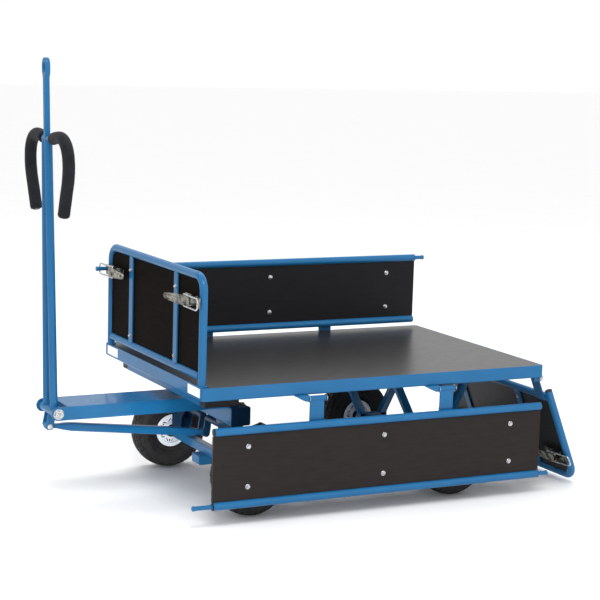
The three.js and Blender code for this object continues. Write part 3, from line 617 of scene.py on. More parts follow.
def turntable():
    for name, body, z0, z1 in (("upper", "chassis", STEER.z + GAP, CARRIER_LOW - GAP),
                               ("lower", "bogie", BOLSTER_HI.z + GAP, STEER.z - GAP)):
        bore = 0.022 if name == "upper" else 0.011
        p = Piece(f"ring_{name}", body, ZINC)
        p.collar((STEER.x, 0, 0), (0, 0, 1), bore, 0.120, z0, z1, (0.0015, 0.0015), 96)
        p.done(f"turntable_{name}_ring")
    p = Piece("kingpin", "chassis", ZINC)
    p.rod((STEER.x, 0, 0.258), (STEER.x, 0, CARRIER_LOW - GAP), 0.010, 32)
    p.hexagon((STEER.x, 0, 0.2595), (STEER.x, 0, BOLSTER_LO.z - GAP), 0.0165)
    p.done("king_pin")


def bolster():
    middle = (BOLSTER_LO + BOLSTER_HI) / 2
    half = (BOLSTER_HI - BOLSTER_LO) / 2
    p = Piece("bolster", "bogie", BLUE)
    section = rounded(half.x, half.z, 0.006, 5)
    wall = half.y - 0.003
    p.sweep([(middle.x, -wall, middle.z), (middle.x, wall, middle.z)], section, up=(1, 0, 0))
    p.done("bolster_beam")
    # The bolster's end faces in the darker blue: painted shade.
    caps = Piece("bolster_ends_painted_shade", "bogie", NAVY_PAINTED_SHADE)
    lip = [(middle.x + x, middle.z + z)
           for x, z in rounded(half.x - 0.0005, half.z - 0.0005, 0.006, 5)]
    for side in (1, -1):
        caps.plate(lip, "y", side * (wall + 0.0002), side * half.y, bevel=0.0012)
    caps.done()
    bolts = Piece("bolster_bolts", "bogie", YELLOW_ZINC)
    for side in (1, -1):
        for x, y in ((STEER.x - 0.018, 0.226), (STEER.x + 0.016, 0.202)):
            foot = Vector((x, side * y, BOLSTER_HI.z - 0.0005))
            bolts.turn([(0, 0), (0.0110, 0), (0.0110, 0.0018), (0, 0.0018)], foot, (0, 0, 1), 28)
            bolts.hexagon(foot + Vector((0, 0, 0.0016)), foot + Vector((0, 0, 0.0078)), 0.0085)
    bolts.done()


def front_brackets():
    top, low = BOLSTER_LO.z - GAP, AXLE_FRONT.z + BEAM_TOP
    leg = [(0.120, top), (0.240, top), (0.240, low), (0.175, low), (0.172, low + 0.020),
           (0.165, 0.200), (0.150, 0.222)]
    for name, side in SIDES:
        mirror = CART @ Matrix.Diagonal((1, side, 1, 1))
        # The front brackets take the darker copy of the blue coat: painted shade.
        p = Piece(f"bracket_front_{name}", "bogie", NAVY_PAINTED_SHADE, mirror)
        for x0, x1 in ((0.396, 0.403), (0.433, 0.440)):
            p.plate(leg, "x", x0, x1, bevel=0.001)
        for y, z in (((0.177, 0.238), (low, low + 0.010)), ((0.125, 0.238), (top - 0.006, top)),
                     ((0.232, 0.238), (low + 0.008, top - 0.004))):
            p.block((0.402, 0.434), y, z, 0.001)
        p.collar((SHAFT.x, 0.2401, SHAFT.z), (0, 1, 0), 0.0135, 0.019, 0, 0.004, segments=28)
        p.done(f"front_bracket_{name}")


def arm():
    p = Piece("arm", "bogie", BLUE)
    rear, top, low, skin = BOLSTER_HI.x + GAP, BOLSTER_HI.z, 0.284, 0.006
    nose = PIVOT.x - 0.031
    half = ARM_HALF - 0.001
    p.block((rear, nose), (-half, half), (top - skin, top - 0.0002), 0.0022)
    cheek = [(rear, top), (rear, low), (PIVOT.x - 0.030, low),
             *arc(PIVOT.x, PIVOT.z, ARM_BOSS, -90, 90, 12), (PIVOT.x - 0.012, top - 0.0008),
             (nose, top)]
    hole = [(PIVOT.x + x, PIVOT.z + z) for x, z in circle(0.0083, 20)]
    for side in (1, -1):
        p.plate(cheek, "y", side * (ARM_HALF - skin), side * ARM_HALF, [hole], bevel=0.0014)
        y = side * ARM_HALF * 0.99
        p.bead((rear + 0.002, y, low + 0.002), (rear + 0.002, y, top - 0.003), 0.0028)
    p.done("drawbar_arm")
    b = Piece("pivot_bolt", "bogie", ZINC)
    b.rod((PIVOT.x, -0.092, PIVOT.z), (PIVOT.x, 0.092, PIVOT.z), 0.0073, 28, 0.0012)
    washer = [(0.0075, 0), (0.0165, 0), (0.017, 0.0005), (0.017, 0.0025), (0.0075, 0.0027), (0.0075, 0)]
    for side in (1, -1):
        b.turn(washer, (PIVOT.x, side * (ARM_HALF + GAP), PIVOT.z), (0, side, 0), 36)
        b.hexagon((PIVOT.x, side * 0.0810, PIVOT.z), (PIVOT.x, side * 0.0890, PIVOT.z), 0.0128)
    b.done("drawbar_bolt")


# ---- drawbar -------------------------------------------------------------------------
POLE = Matrix.Translation(ORIGIN + PIVOT) @ Matrix.Rotation(POLE_LEAN, 4, "Y")
CRANK = Vector((0.008, 0, -0.051))
HUB = Vector((-0.006, 0, 0.850))
GRIP_R, GRIP_END, GRIP_STEPS = 0.019, 0.009, 96     # foam radius, its rounded end, rings
HORN = [(0.038, 0.850), (0.072, 0.856), (0.116, 0.858), (0.150, 0.846), (0.174, 0.818), (0.182, 0.778),
        (0.175, 0.734), (0.157, 0.690), (0.129, 0.620)]


def eye_outline():
    """From the square bar, out along the neck and round a flat-topped ring."""
    middle, half_y, half_z, power = 1.065, 0.021, 0.032, 0.8
    ring = []
    for k in range(-4, 21):
        a = math.radians(k * 180 / 16)
        c, s = math.cos(a), math.sin(a)
        ring.append((half_y * math.copysign(abs(c) ** power, c),
                     middle + half_z * math.copysign(abs(s) ** power, s)))
    return [(-0.0085, 1.010), (0.0085, 1.010), (0.0095, 1.026), *ring, (-0.0095, 1.026)]


def pole():
    p = Piece("pole", "drawbar", BLUE, POLE)
    barrel = ARM_HALF - 0.006 - GAP
    p.collar((0, 0, 0), (0, 1, 0), 0.0080, 0.015, -barrel, barrel, (0.0015, 0.0015), 40)
    p.collar(HUB, (0, 1, 0), 0.0086, 0.014, -0.031, 0.031, (0.001, 0.001), 40)
    plate = [(-0.012, -0.004), (CRANK.x - 0.013, CRANK.z + 0.002), (CRANK.x - 0.008, CRANK.z - 0.011),
             (CRANK.x + 0.008, CRANK.z - 0.011), (CRANK.x + 0.013, CRANK.z + 0.004), (0.012, -0.004)]
    hole = [(CRANK.x + x, CRANK.z + z) for x, z in circle(0.0055, 16)]
    for side in (1, -1):
        foot, head = Vector((0, side * 0.034, 0.004)), Vector((0, side * 0.0132, HUB.z - 0.006))
        p.pipe([foot, head], TUBE, 32)
        ring = [foot + Vector((0.0135 * c, 0.01377 * s, 0.012 - abs(c) * 0.003)) for c, s in circle(1, 24)]
        p.sweep(ring, circle(0.0022, 8), closed=True)
        p.plate(plate, "y", side * 0.014, side * 0.020, [hole], bevel=0.001)
    p.bead((-0.004, 0, 0.30), (-0.004, 0, HUB.z - 0.016), 0.0018)
    p.sweep([(0, 0, HUB.z - 0.018), (0, 0, 1.040)], rounded(0.0085, 0.0085, 0.0016, 4), up=(1, 0, 0))
    eye = [(0.0100 * c, 1.067 + 0.015 * s) for c, s in circle(1, 32)]
    p.plate(eye_outline(), "x", -0.008, 0.008, [eye], bevel=0.0042)
    for side in (1, -1):
        for start, end, radius in (((0.004, 0.009, 0.0135), (0.013, 0.009, 0.0125), 0.0032),
                                   ((-0.012, 0.022, -0.010), (0.014, 0.024, -0.012), 0.0034)):
            mirror = Matrix.Diagonal((1, side, 1))
            p.bead(HUB + mirror @ Vector(start), HUB + mirror @ Vector(end), radius)
    p.done("drawbar_pole")


def handle():
    # The handle bar takes the darker copy of the blue coat: painted shade.
    bar = Piece("horn", "drawbar", NAVY_PAINTED_SHADE, POLE)
    bar.rod((HUB.x, -0.040, HUB.z), (HUB.x, 0.040, HUB.z), 0.0079, 24)
    for side in (1, -1):
        bar.pipe(smooth_path([(HUB.x, side * y, z) for y, z in HORN]), 0.0079, 16)
    bar.done("handle_bar")
    for name, side in SIDES:
        p = Piece(f"foam_{name}", "drawbar", FOAM, POLE)
        path = smooth_path([(HUB.x, side * y, z) for y, z in HORN], 8)
        lengths = [0.0]
        for a, b in zip(path, path[1:]):
            lengths.append(lengths[-1] + (b - a).length)
        total, at = lengths[-1], 0
        even, sizes = [], []
        for k in range(GRIP_STEPS + 1):
            want = k / GRIP_STEPS * total
            while at < len(lengths) - 2 and lengths[at + 1] < want:
                at += 1
            share = (want - lengths[at]) / (lengths[at + 1] - lengths[at])
            point = path[at].lerp(path[at + 1], share)
            fall = max(0.0, 1 - min(want, total - want) / GRIP_END)
            size = (GRIP_R - GRIP_END * (1 - math.sqrt(1 - fall * fall))) / GRIP_R
            size *= 1 + 0.010 * noise.noise(point * 45)
            even.append(point)
            sizes.append((size, size))
        p.sweep(even, circle(GRIP_R, 32), scale=sizes)
        p.done(f"grip_{name}", sharp=60)


def rod_and_pin():
    pin = Piece("fork_pin", "drawbar", ZINC, POLE)
    pin.rod((CRANK.x, -0.025, CRANK.z), (CRANK.x, 0.025, CRANK.z), 0.005, 20)
    clip = [(0.005, 0), (0.009, 0), (0.009, 0.002), (0.0062, 0.003), (0.005, 0.003), (0.005, 0)]
    for side in (1, -1):
        pin.turn(clip, (CRANK.x, side * 0.0205, CRANK.z), (0, side, 0), 28)
    pin.done("rod_pin")
    crank = Matrix.Rotation(POLE_LEAN, 3, "Y") @ CRANK
    front, rear = PIVOT + crank, SHAFT + crank
    run = (front - rear).normalized()
    half = 0.013
    stations = [(rear, 0.012, 0.0075), (rear, 0.026, 0.009), (rear, 0.042, half), (front, -0.075, half),
                (front, -0.050, 0.0105), (front, -0.028, 0.007), (front, -0.006, 0.0065)]
    p = Piece("brake_link", "brake_rod", BLUE)
    p.sweep([base + run * along for base, along, _ in stations], rounded(0.012, half, 0.0045, 4),
            scale=[(1, size / half) for _, _, size in stations], up=(0, 1, 0))
    for at, bore in ((front, 0.0056), (rear, 0.008)):
        p.collar(at, (0, 1, 0), bore, 0.013, -0.012, 0.012, (0.001, 0.001))
    p.done("brake_rod")
    brake_cross(rear)


def web(p, a, b, radius, y0, y1):
    """A flat link with round ends between two points."""
    lean = math.degrees(math.atan2(b.z - a.z, b.x - a.x))
    outline = arc(a.x, a.z, radius, lean + 90, lean + 270, 8)
    outline += arc(b.x, b.z, radius, lean - 90, lean + 90, 8)
    p.plate(outline, "y", y0, y1, bevel=0.001)


def brake_cross(rear):
    # The brake cross shaft takes the darker copy of the blue coat: painted shade.
    s = Piece("brake_cross", "brake_shaft", NAVY_PAINTED_SHADE)
    s.rod((rear.x, -0.024, rear.z), (rear.x, 0.024, rear.z), 0.006, 20)
    for side in (1, -1):
        s.rod((SHAFT.x, side * 0.019, SHAFT.z), (SHAFT.x, side * 0.280, SHAFT.z), 0.012, 28)
        web(s, SHAFT, rear, 0.0118, side * 0.018, side * 0.026)
        web(s, SHOE, SHAFT, 0.0125, side * 0.268, side * 0.280)
        s.rod((SHOE.x, side * 0.268, SHOE.z), (SHOE.x, side * 0.372, SHOE.z), 0.0138, 32, 0.0015)
    s.done("brake_shaft")


# ---- wheels --------------------------------------------------------------------------
TREAD_R = AXLE_FRONT.z
BASE_R = TREAD_R - 0.0065
TREAD_CURVE = 5.2                                  # fall of the crown per square metre across
SHOULDER_DROP, TREAD_DEPTH, SHOULDER_Y = 0.0035, 0.012, 0.03
TREAD_PITCHES = 34
TREAD_STEP = 2 * math.pi / TREAD_PITCHES
# each row's edges across the tyre, its shift in steps and its slant
TREAD_ROWS = ((-0.0070, 0.0070, 0.0, 0.30), (0.0100, 0.0220, 0.25, -0.22),
              (-0.0220, -0.0100, 0.75, -0.22), (0.0235, 0.0355, 0.55, 0.10),
              (-0.0355, -0.0235, 0.05, 0.10))
# sections are pairs of radius and distance from the wheel's middle
TYRE_SECTION = [(0.0503, 0.0272), (0.0560, 0.0283), (0.0600, 0.0305), (0.0622, 0.0335),
                (0.0640, 0.0345), (0.0668, 0.0342), (0.0690, 0.0338), (0.0760, 0.0375),
                (0.0850, 0.0403), (0.0920, 0.0412), (0.0935, 0.0419), (0.0955, 0.0412),
                (0.1040, 0.0404), (0.1120, 0.0375), (0.1170, 0.0335), (0.1205, 0.0270),
                (0.1225, 0.0180), (BASE_R, 0.0080)]
RIM_SECTION = [(0.0223, 0.036), (0.0262, 0.036), (0.0275, 0.0348), (0.0280, 0.012), (0.0300, 0.009),
               (0.0405, 0.009), (0.0425, 0.0115), (0.0432, 0.0300), (0.0442, 0.0324),
               (0.0460, 0.0332), (0.0480, 0.0322), (0.0500, 0.0322), (0.0518, 0.0338),
               (0.0548, 0.0336), (0.0560, 0.0320), (0.0552, 0.0297), (0.0530, 0.0285),
               (0.0500, 0.0268)]
# the black hub, with a flange disc out behind the rim's slots: painted shade in the slots
HUB_AND_SHADE_DISC_SECTION = [(0.0112, 0.0420), (0.0150, 0.0420), (0.0158, 0.0412), (0.0165, 0.0380),
               (0.0205, 0.0370), (0.0215, 0.0360), (0.0220, 0.0215), (0.0405, 0.0210),
               (0.0405, 0.0120), (0.0400, 0.001)]
VALVE_SECTION = [(0, 0), (0.0042, 0), (0.0040, 0.006), (0.0030, 0.009), (0.0028, 0.016),
                 (0.0034, 0.0165), (0.0034, 0.021), (0.0026, 0.022), (0, 0.022)]


def crown(y):
    """Height of the tread across the tyre."""
    return TREAD_R - TREAD_CURVE * y * y


def both_sides(half):
    """A closed profile from its one half, given from the bore out to the middle."""
    profile = half + [(r, -y) for r, y in reversed(half)]
    return [*profile, profile[0]]


def tread_block(y0, y1, skew, a0, a1):
    """One tread block, from inside the tyre out to the crown, narrower at its top."""
    bm = bmesh.new()
    rings = []
    for grow in (0, 1):
        ring = []
        pinch = 0.0007 * grow
        for y, lean, order in ((y0, -skew, (0, 0.5, 1)), (y1, skew, (1, 0.5, 0))):
            drop = SHOULDER_DROP if abs(y) > SHOULDER_Y else 0
            r = crown(y) - drop - (0 if grow else TREAD_DEPTH)
            across = y - math.copysign(pinch, y - (y0 + y1) / 2)
            for t in order:
                a = a0 + (a1 - a0) * t + lean * TREAD_STEP * 0.5 + (0.5 - t) * 2 * pinch / TREAD_R
                ring.append(bm.verts.new((r * math.sin(a), across, r * math.cos(a))))
        rings.append(ring)
    count = len(rings[0])
    for i in range(count):
        m = (i + 1) % count
        bm.faces.new((rings[0][i], rings[0][m], rings[1][m], rings[1][i]))
    bm.faces.new(rings[1])
    bm.faces.new(rings[0][::-1])
    return bm


def tyre(name, place, body):
    p = Piece(f"rubber_{name}", body, RUBBER, place)
    p.turn(both_sides(TYRE_SECTION), (0, 0, 0), (0, 1, 0), 96)
    for k in range(TREAD_PITCHES):
        for y0, y1, shift, skew in TREAD_ROWS:
            a0, a1 = (k + shift + 0.09) * TREAD_STEP, (k + shift + 0.91) * TREAD_STEP
            p.add(tread_block(y0, y1, skew, a0, a1))
    p.done(f"tyre_{name}")


def spoke(at, lean, r0, r1, half_width):
    """Foot, head and corners of a straight bar across the rim's face, in degrees and metres."""
    a, b = math.radians(at), math.radians(at + lean)
    foot = Vector((r0 * math.cos(a), r0 * math.sin(a)))
    head = Vector((r1 * math.cos(b), r1 * math.sin(b)))
    side = (head - foot).normalized().orthogonal() * half_width
    corners = [foot + side, foot - side, head - side, head + side]
    return foot, head, [tuple(c) for c in corners]


def rim(name, place, body):
    """Two dished halves: a rolled flange, a deep face with paired ribs, slots and a hub seat."""
    p = Piece(f"disc_{name}", body, RIM_GREY, place)
    p.turn(both_sides(RIM_SECTION), (0, 0, 0), (0, 1, 0), 72)
    slots = []
    for k in range(6):
        for lean in (14, -14):
            slots.append(spoke(k * 60 + lean * 0.6, lean, 0.0302, 0.0412, 0.0026)[2])
        slots.append(spoke(k * 60 + 30, 0, 0.0325, 0.0405, 0.0030)[2])
    bore = circle(0.0278, 48)
    depth = 0.026
    for face in (1, -1):
        p.plate(circle(0.0436, 72), "y", face * (depth - 0.002), face * depth, [bore, *slots], bevel=0)
        for k in range(6):
            for lean in (22, -22):
                foot, head, _ = spoke(k * 60 + lean * 0.35, lean, 0.0282, 0.0432, 0.001)
                path = [(foot.x, face * depth, foot.y), (head.x, face * (depth + 0.001), head.y)]
                p.sweep(path, rounded(0.0022, 0.0012, 0.0006, 2), up=(0, 1, 0))
    p.done(f"rim_{name}")
    # The black hub and its flange disc, which paints shade behind the rim's slots.
    h = Piece(f"hub_and_shade_disc_{name}", body, BLACK, place)
    h.turn(both_sides(HUB_AND_SHADE_DISC_SECTION), (0, 0, 0), (0, 1, 0), 48)
    h.done(f"hub_{name}")
    v = Piece(f"valve_{name}", body, BLACK, place)
    v.turn(VALVE_SECTION, (0.0445, 0.020, 0.004), (-0.25, 0.9, 0), 20)
    v.done()


def wheels():
    for end, at in (("front", AXLE_FRONT), ("rear", AXLE_REAR)):
        for hand, side in SIDES:
            name, turn = f"{end}_{hand}", 0 if side > 0 else math.pi
            spin = math.radians({"front": 17, "rear": 52}[end] + 11 * side)
            place = CART @ Matrix.Translation((at.x, side * at.y, at.z)) @ Matrix.Rotation(turn, 4, "Z")
            place = place @ Matrix.Rotation(spin, 4, "Y")
            tyre(name, place, f"wheel_{name}")
            rim(name, place, f"wheel_{name}")


# ---- side walls ----------------------------------------------------------------------
SIDE_LOW, SIDE_HIGH = 0.079, 0.309
SIDE_HALF = 0.593
SIDE_PLANE = -0.019
SIDE_BAR_X = (-0.475, 0, 0.475)                    # flat uprights behind the panel
CAP = 0.0028


def tube_cap(p, at, out):
    """A plastic plug with a rounded rim in the end of a tube; at is on the tube's end."""
    section = [(0, -0.006), (TUBE - 0.002, -0.006), (TUBE - 0.002, 0), (TUBE - 0.0004, 0),
               (TUBE, 0.0008), (TUBE - 0.0006, 0.0018), (TUBE - 0.003, CAP - 0.0002),
               (TUBE - 0.006, CAP), (0, CAP)]
    p.turn(section, at, out, 36)


BOLT_HEAD = [(0, -0.001), (0.0082, -0.001), (0.0084, 0.0006), (0.0076, 0.0014), (0.0060, 0.0017),
             (0.0054, 0.0030), (0.0036, 0.0040), (0, 0.0043)]


def carriage_bolts(name, body, place, spots, inner, outer, axis):
    """Domed heads on the panel's inside, with a washer and a nut on the outside."""
    p = Piece(name, body, ZINC, place)
    for spot in spots:
        head, tail = Vector(spot), Vector(spot)
        head[axis], tail[axis] = inner, outer
        out = (tail - head).normalized()
        p.turn(BOLT_HEAD, head, -out, 28)
        p.turn([(0, -0.001), (0.0062, -0.001), (0.0062, 0.001), (0, 0.001)], tail, out, 24)
        p.hexagon(tail + out * 0.0009, tail + out * 0.0048, 0.0052, 0.0005)
        p.rod(tail, tail + out * 0.0062, 0.0029, 12, 0.0005)
    p.done()


def side_wall(name, side):
    body = f"{name}_wall"
    drop = JOINT["left_wall_fold"]["range_deg"][1] if name == "left" else 0
    place = Matrix.Translation((ORIGIN.x, JOINT[f"{body}_fold"]["pos_m"][1], HINGE_Z))
    place = place @ Matrix.Rotation(math.radians(-side * drop), 4, "X")
    place = place @ Matrix.Diagonal((1, side, 1, 1))
    p = Piece(f"side_{name}", body, BLUE, place)
    tube_end = SIDE_HALF - CAP
    for z in (SIDE_LOW, SIDE_HIGH):
        p.pipe([(-tube_end, SIDE_PLANE, z), (tube_end, SIDE_PLANE, z)], TUBE, 32)
    for start, length in ((SIDE_HALF - 0.004, 0.069), (-SIDE_HALF + 0.004, 0.042)):
        pin = [(0, 0), (0.0068, 0), (0.0068, length - 0.009), (0.0079, length - 0.007),
               (0.0079, length - 0.0015), (0.0066, length), (0, length)]
        p.turn(pin, (start, SIDE_PLANE, SIDE_HIGH), (math.copysign(1, start), 0, 0), 28)
    for x in SIDE_BAR_X:
        p.block((x - 0.020, x + 0.020), (SIDE_PLANE + 0.0075, SIDE_PLANE + 0.0115),
                (SIDE_LOW, SIDE_HIGH), 0.001)
        for z in (SIDE_LOW + 0.006, SIDE_HIGH - 0.006):
            y = SIDE_PLANE + 0.0112
            p.bead((x - 0.018, y, z), (x + 0.018, y, z), 0.0024)
    for x in HINGE_X:
        p.block((x - 0.021, x + 0.028), (SIDE_PLANE + 0.012, SIDE_PLANE + 0.018),
                (0.004, SIDE_LOW + 0.006), 0.0014)
        y, z = SIDE_PLANE + 0.0125, SIDE_LOW + 0.005
        p.bead((x - 0.019, y, z), (x + 0.026, y, z), 0.003)
        p.collar((x, 0, 0), (1, 0, 0), 0.0050, 0.009, -0.028, 0.029, (0.0005, 0.0008))
    p.done(f"{body}_frame")
    # The far wall takes a darker copy of the wall film: painted shade.
    film = WALL_FILM if name == "left" else FAR_FILM_PAINTED_SHADE
    board = Piece(f"board_{name}", body, film, place)
    low, high = SIDE_LOW + TUBE + GAP, SIDE_HIGH - TUBE - GAP
    board.block((-SIDE_HALF, SIDE_HALF), (SIDE_PLANE - 0.0018, SIDE_PLANE + 0.0072), (low, high), 0.0008)
    board.done(f"{body}_panel")
    caps = Piece(f"caps_{name}", body, BLACK, place)
    for z in (SIDE_LOW, SIDE_HIGH):
        for way in (1, -1):
            tube_cap(caps, (way * tube_end, SIDE_PLANE, z), (way, 0, 0))
    caps.done()
    spots = [(x, 0, z) for x in SIDE_BAR_X for z in (0.130, 0.256)]
    carriage_bolts(f"bolts_{name}", body, place, spots, SIDE_PLANE - 0.0018, SIDE_PLANE + 0.0115, 1)


# ---- end walls -----------------------------------------------------------------------
END_LOW, END_HIGH = 0.029, 0.335
PANEL_T = 0.009
BEND_R = 0.045


def end_place(name):
    if name == "front":
        return CART @ Matrix.Translation((END_PLANE, 0, DECK))
    swing = JOINT["rear_wall_fold"]
    drop = Matrix.Rotation(math.radians(-swing["range_deg"][1]), 4, "Y")
    place = Matrix.Translation(swing["pos_m"]) @ drop
    place = place @ Matrix.Translation((END_INSET, 0, DECK - HINGE_Z))
    return place @ Matrix.Diagonal((-1, 1, 1, 1))


def end_wall(name, body):
    place = end_place(name)
    p = Piece(f"end_{name}", body, BLUE, place)
    foot = GAP if name == "front" else CAP + GAP
    corners = [(0, -POST_Y, foot), (0, -POST_Y, END_HIGH), (0, POST_Y, END_HIGH), (0, POST_Y, foot)]
    p.pipe(arc_path(corners, BEND_R, 12), TUBE, 32)
    p.pipe([(0, -POST_Y, END_LOW), (0, POST_Y, END_LOW)], TUBE * 0.998, 32)
    for side in (1, -1):
        y = side * END_BAR_Y
        p.block((0.004, 0.009), (y - 0.015, y + 0.015), (END_LOW, END_HIGH), 0.001)
        for z, way in ((END_LOW, 1), (END_HIGH, -1)):
            p.bead((0.0086, y - 0.013, z + way * 0.0095), (0.0086, y + 0.013, z + way * 0.0095), 0.0024)
        joint = [(0.0132 * c, side * (POST_Y - TUBE * abs(s) * 0.25 - 0.0098), END_LOW + 0.0132 * s)
                 for c, s in circle(1, 28)]
        p.sweep(joint, circle(0.0020, 8), closed=True)
        if name == "front":
            ring = [(0.0138 * c, side * POST_Y + 0.0138 * s, 0.0010) for c, s in circle(1, 28)]
            p.sweep(ring, circle(0.0028, 8), closed=True)
    if name == "rear":
        axis = HINGE_Z - DECK
        for side in (1, -1):
            y = side * END_HINGE_Y
            p.block((0.0115, 0.0175), (y - 0.024, y + 0.024), (axis + 0.004, END_LOW + 0.006), 0.0014)
            p.bead((0.0118, y - 0.022, END_LOW + 0.006), (0.0118, y + 0.022, END_LOW + 0.006), 0.003)
            p.collar((END_INSET, y, axis), (0, 1, 0), 0.005, 0.009, -0.027, 0.027, (0.0005, 0.0008))
        caps = Piece("caps_rear", body, BLACK, place)
        for side in (1, -1):
            tube_cap(caps, (0, side * POST_Y, foot), (0, 0, -1))
        caps.done()
    p.done(f"{name}_wall_frame")

    # Both end walls take darker copies of the wall film: painted shade.
    film = END_FILM_PAINTED_SHADE if name == "front" else REAR_FILM_PAINTED_SHADE
    board = Piece(f"board_{name}", body, film, place)
    half, low, high = POST_Y - TUBE - GAP, END_LOW + TUBE + GAP, END_HIGH - TUBE - GAP
    radius = BEND_R - 0.008
    sheet = [(-half, low), (half, low)]
    for centre, first in ((half - radius, 0), (radius - half, 90)):
        sheet += arc(centre, high - radius, radius, first, first + 90, 9)
    board.plate(sheet, "x", 0.0035 - PANEL_T, 0.0035, bevel=0.0007)
    board.done(f"{name}_wall_panel")
    spots = [(0, side * END_BAR_Y, z) for side in (1, -1) for z in (0.062, 0.280)]
    carriage_bolts(f"bolts_{name}", body, place, spots, 0.0035 - PANEL_T, 0.009, 0)
    for hand, side in SIDES:
        latch(name, hand, body, place @ Matrix.Diagonal((1, side, 1, 1)))


def latch_plate(name, wall, place):
    """The riveted plate with its two ears, and the strap round the post."""
    b = Piece(f"latch_plate_{name}", wall, YELLOW_ZINC, place)
    face = 0.0038
    outline = [(0.318 + y, LATCH_Z + z) for y, z in rounded(0.056, 0.015, 0.005, 4)]
    b.plate(outline, "x", face, face + 0.0028, bevel=0.0006)
    ear = [(face + 0.001, 0.313), (0.024, 0.313), (0.030, 0.318), (0.0330, 0.330), (0.030, 0.342),
           (0.024, 0.346), (face + 0.001, 0.346)]
    for z0, z1 in ((-0.0148, -0.0120), (0.0120, 0.0148)):
        b.plate(ear, "z", LATCH_Z + z0, LATCH_Z + z1, bevel=0.0008)
    half_pin = Vector((0, 0, 0.0149))
    b.rod(LEVER_PIVOT - half_pin, LEVER_PIVOT + half_pin, 0.0035, 20)
    for y in (0.270, 0.298, 0.366):
        b.dome((face + 0.0026, y, LATCH_Z), (1, 0, 0), 0.0048, 0.0022)
    strap = [(face + 0.001, 0.352), (face + 0.001, 0.372), (0.0135, 0.3755), (0.0150, 0.381),
             (0.0150, 0.3985), (0.0180, 0.3985), (0.0182, 0.380), (0.0160, 0.3728), (0.0090, 0.3665),
             (0.0075, 0.352)]
    b.plate(strap, "z", LATCH_Z - 0.017, LATCH_Z + 0.017, bevel=0.0008)
    for z in (-0.0145, 0.0145):
        b.bead((0.0182, 0.380, LATCH_Z + z), (0.0182, 0.398, LATCH_Z + z), 0.0014)
    b.done(f"latch_base_{name}")


def latch_lever(name, place):
    """A tapered hand lever with rolled edges, a ridge and its two bosses."""
    lever = Piece(f"latch_hand_{name}", f"lever_{name}", YELLOW_ZINC, place)
    side_line = [(0.012, 0.0125), (-0.004, 0.0148), (-0.044, 0.0148), (-0.100, 0.0112)]
    tip = 0.0095
    nose = arc(tip - LEVER_LENGTH, 0, tip, 90, 270, 10)
    outline = side_line + nose + [(y, -z) for y, z in reversed(side_line)]
    lever.plate(outline, "x", 0.0042, 0.0066, bevel=0.0008)
    for way in (1, -1):
        edge = [(0.0046, y, way * (z - 0.0008)) for y, z in side_line[1:]]
        edge.append((0.0046, -LEVER_LENGTH + 0.008, way * 0.0078))
        lever.sweep(smooth_path(edge, 5), rounded(0.0036, 0.0010, 0.0005, 2), up=(1, 0, 0))
    ridge = [(0.0072, -0.050, 0), (0.0080, -0.075, 0), (0.0078, -0.105, 0)]
    lever.sweep(ridge, rounded(0.0016, 0.0045, 0.0012, 3), up=(1, 0, 0))
    for at, bore in (((0, 0, 0), 0.0042), (BAIL_PIVOT - LEVER_PIVOT, 0.0045)):
        lever.collar(at, (0, 0, 1), bore, 0.007, -0.011, 0.011, segments=28)
    lever.done(f"latch_lever_{name}")


def latch_loop(name, place, rise):
    """The wire loop that hooks over a side wall's pin."""
    bail = Piece(f"latch_loop_{name}", f"bail_{name}", ZINC, place)
    reach, half, wire, wide, tight = 0.115, 0.018, 0.0028, 0.014, 0.004
    loop = []
    for y, z, radius, first in ((reach - wide, half - wide, wide, 0), (tight, half - tight, tight, 90),
                                (tight, tight - half, tight, 180),
                                (reach - wide, wide - half, wide, 270)):
        loop += [(rise * u / reach, u, v) for u, v in arc(y, z, radius, first, first + 90, 6)]
    bail.sweep(loop, circle(wire, 14), closed=True)
    bail.done(f"latch_bail_{name}")


def latch(end, hand, wall, place):
    name = f"{end}_{hand}"
    latch_plate(name, wall, place)
    swing = Matrix.Rotation(math.radians(10 if name == "front_left" else 0), 4, "Z")
    hinge = place @ Matrix.Translation(LEVER_PIVOT) @ swing
    latch_lever(name, hinge)
    boss = LEVER_PIVOT + swing @ (BAIL_PIVOT - LEVER_PIVOT)
    latch_loop(name, place @ Matrix.Translation(boss), 0.004 if end == "front" else -0.008)


# ---- small pieces --------------------------------------------------------------------
def trims():
    labels = Piece("labels", "chassis", LABEL)
    middle = (DECK + LOW) / 2 + 0.002
    for y in (0.350, -0.346):
        outline = [(y + u, middle + v) for u, v in rounded(0.047, 0.0145, 0.002, 3)]
        labels.plate(outline, "x", HALF_L - 0.0002, HALF_L + 0.0004, bevel=0.0001)
    labels.done()


platform()
hinge_pins()
axle("rear_axle", "chassis", AXLE_REAR)
axle("front_axle", "bogie", AXLE_FRONT, stop_block)
rear_brackets()
turntable()
bolster()
front_brackets()
arm()
pole()
handle()
rod_and_pin()
wheels()
for hand, way in SIDES:
    side_wall(hand, way)
end_wall("front", "chassis")
end_wall("rear", "rear_wall")
trims()


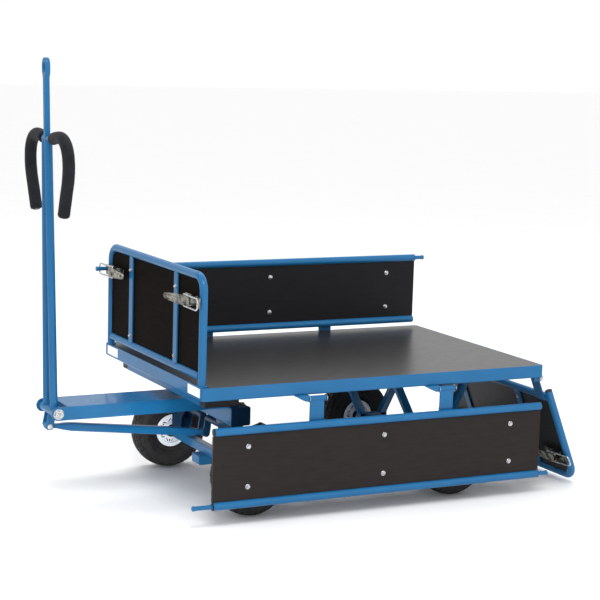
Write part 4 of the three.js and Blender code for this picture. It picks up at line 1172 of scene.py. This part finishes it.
# ---- studio --------------------------------------------------------------------------
def floor():
    s = Shader("paper", 0.7)
    s.colours(s.noise(3, 3), [(0.3, (0.955, 0.955, 0.955)), (0.7, (0.97, 0.97, 0.97))])
    s.bump(s.noise(200, 2), 0.0002, 0.1)
    mesh = bpy.data.meshes.new("paper_sheet")
    reach, below = 40.0, -0.0005
    corners = [(x * reach, y * reach, below) for x, y in ((-1, -1), (1, -1), (1, 1), (-1, 1))]
    mesh.from_pydata(corners, [], [(0, 1, 2, 3)])
    mesh.materials.append(s.material)
    sheet = bpy.data.objects.new("paper_sheet", mesh)
    bpy.context.scene.collection.objects.link(sheet)


def area_light(name, at, target, size, power, spread=180):
    lamp = bpy.data.lights.new(name, "AREA")
    lamp.shape = "RECTANGLE"
    lamp.size, lamp.size_y = size
    lamp.energy = power
    lamp.spread = math.radians(spread)
    made = bpy.data.objects.new(name, lamp)
    made.location = at
    made.rotation_euler = (Vector(target) - Vector(at)).to_track_quat("-Z", "Y").to_euler()
    bpy.context.scene.collection.objects.link(made)


def studio():
    scene = bpy.context.scene
    world = bpy.data.worlds.new("studio")
    world.use_nodes = True
    background = world.node_tree.nodes["Background"]
    background.inputs["Color"].default_value = (1, 1, 1, 1)
    background.inputs["Strength"].default_value = 1.0
    scene.world = world
    scene.view_settings.view_transform = "Standard"
    floor()
    middle = (0, 0, 0.4)
    area_light("key", (1.4, 3.4, 4.8), middle, (2.2, 2.2), 165)
    area_light("fill", (-2.5, 4.2, 2.6), middle, (2.5, 2.5), 14)
    area_light("kicker", (2.2, 3.0, 0.15), (0.39, -0.33, 0.12), (0.3, 0.2), 0.5, 12)
    area_light("top", (0, -1.5, 4.0), middle, (3.0, 0.8), 45)


def camera():
    azimuth, elevation, roll = 0.47087, 0.150204, 0.0295784
    flat = math.cos(elevation)
    look = -Vector((flat * math.sin(azimuth), flat * math.cos(azimuth), math.sin(elevation)))
    right = look.cross(Vector((0, 0, 1))).normalized()
    up = right.cross(look)
    right, up = (right * math.cos(roll) + up * math.sin(roll), up * math.cos(roll) - right * math.sin(roll))
    data = bpy.data.cameras.new("camera")
    data.sensor_width = 36
    data.lens = 104.273
    data.clip_end = 100
    made = bpy.data.objects.new("camera", data)
    turn = Matrix((right, up, -look)).transposed().to_4x4()
    place = ORIGIN + Vector((2.690756, 5.116307, 1.485375))
    made.matrix_world = Matrix.Translation(place) @ turn
    bpy.context.scene.collection.objects.link(made)
    bpy.context.scene.camera = made


studio()
camera()
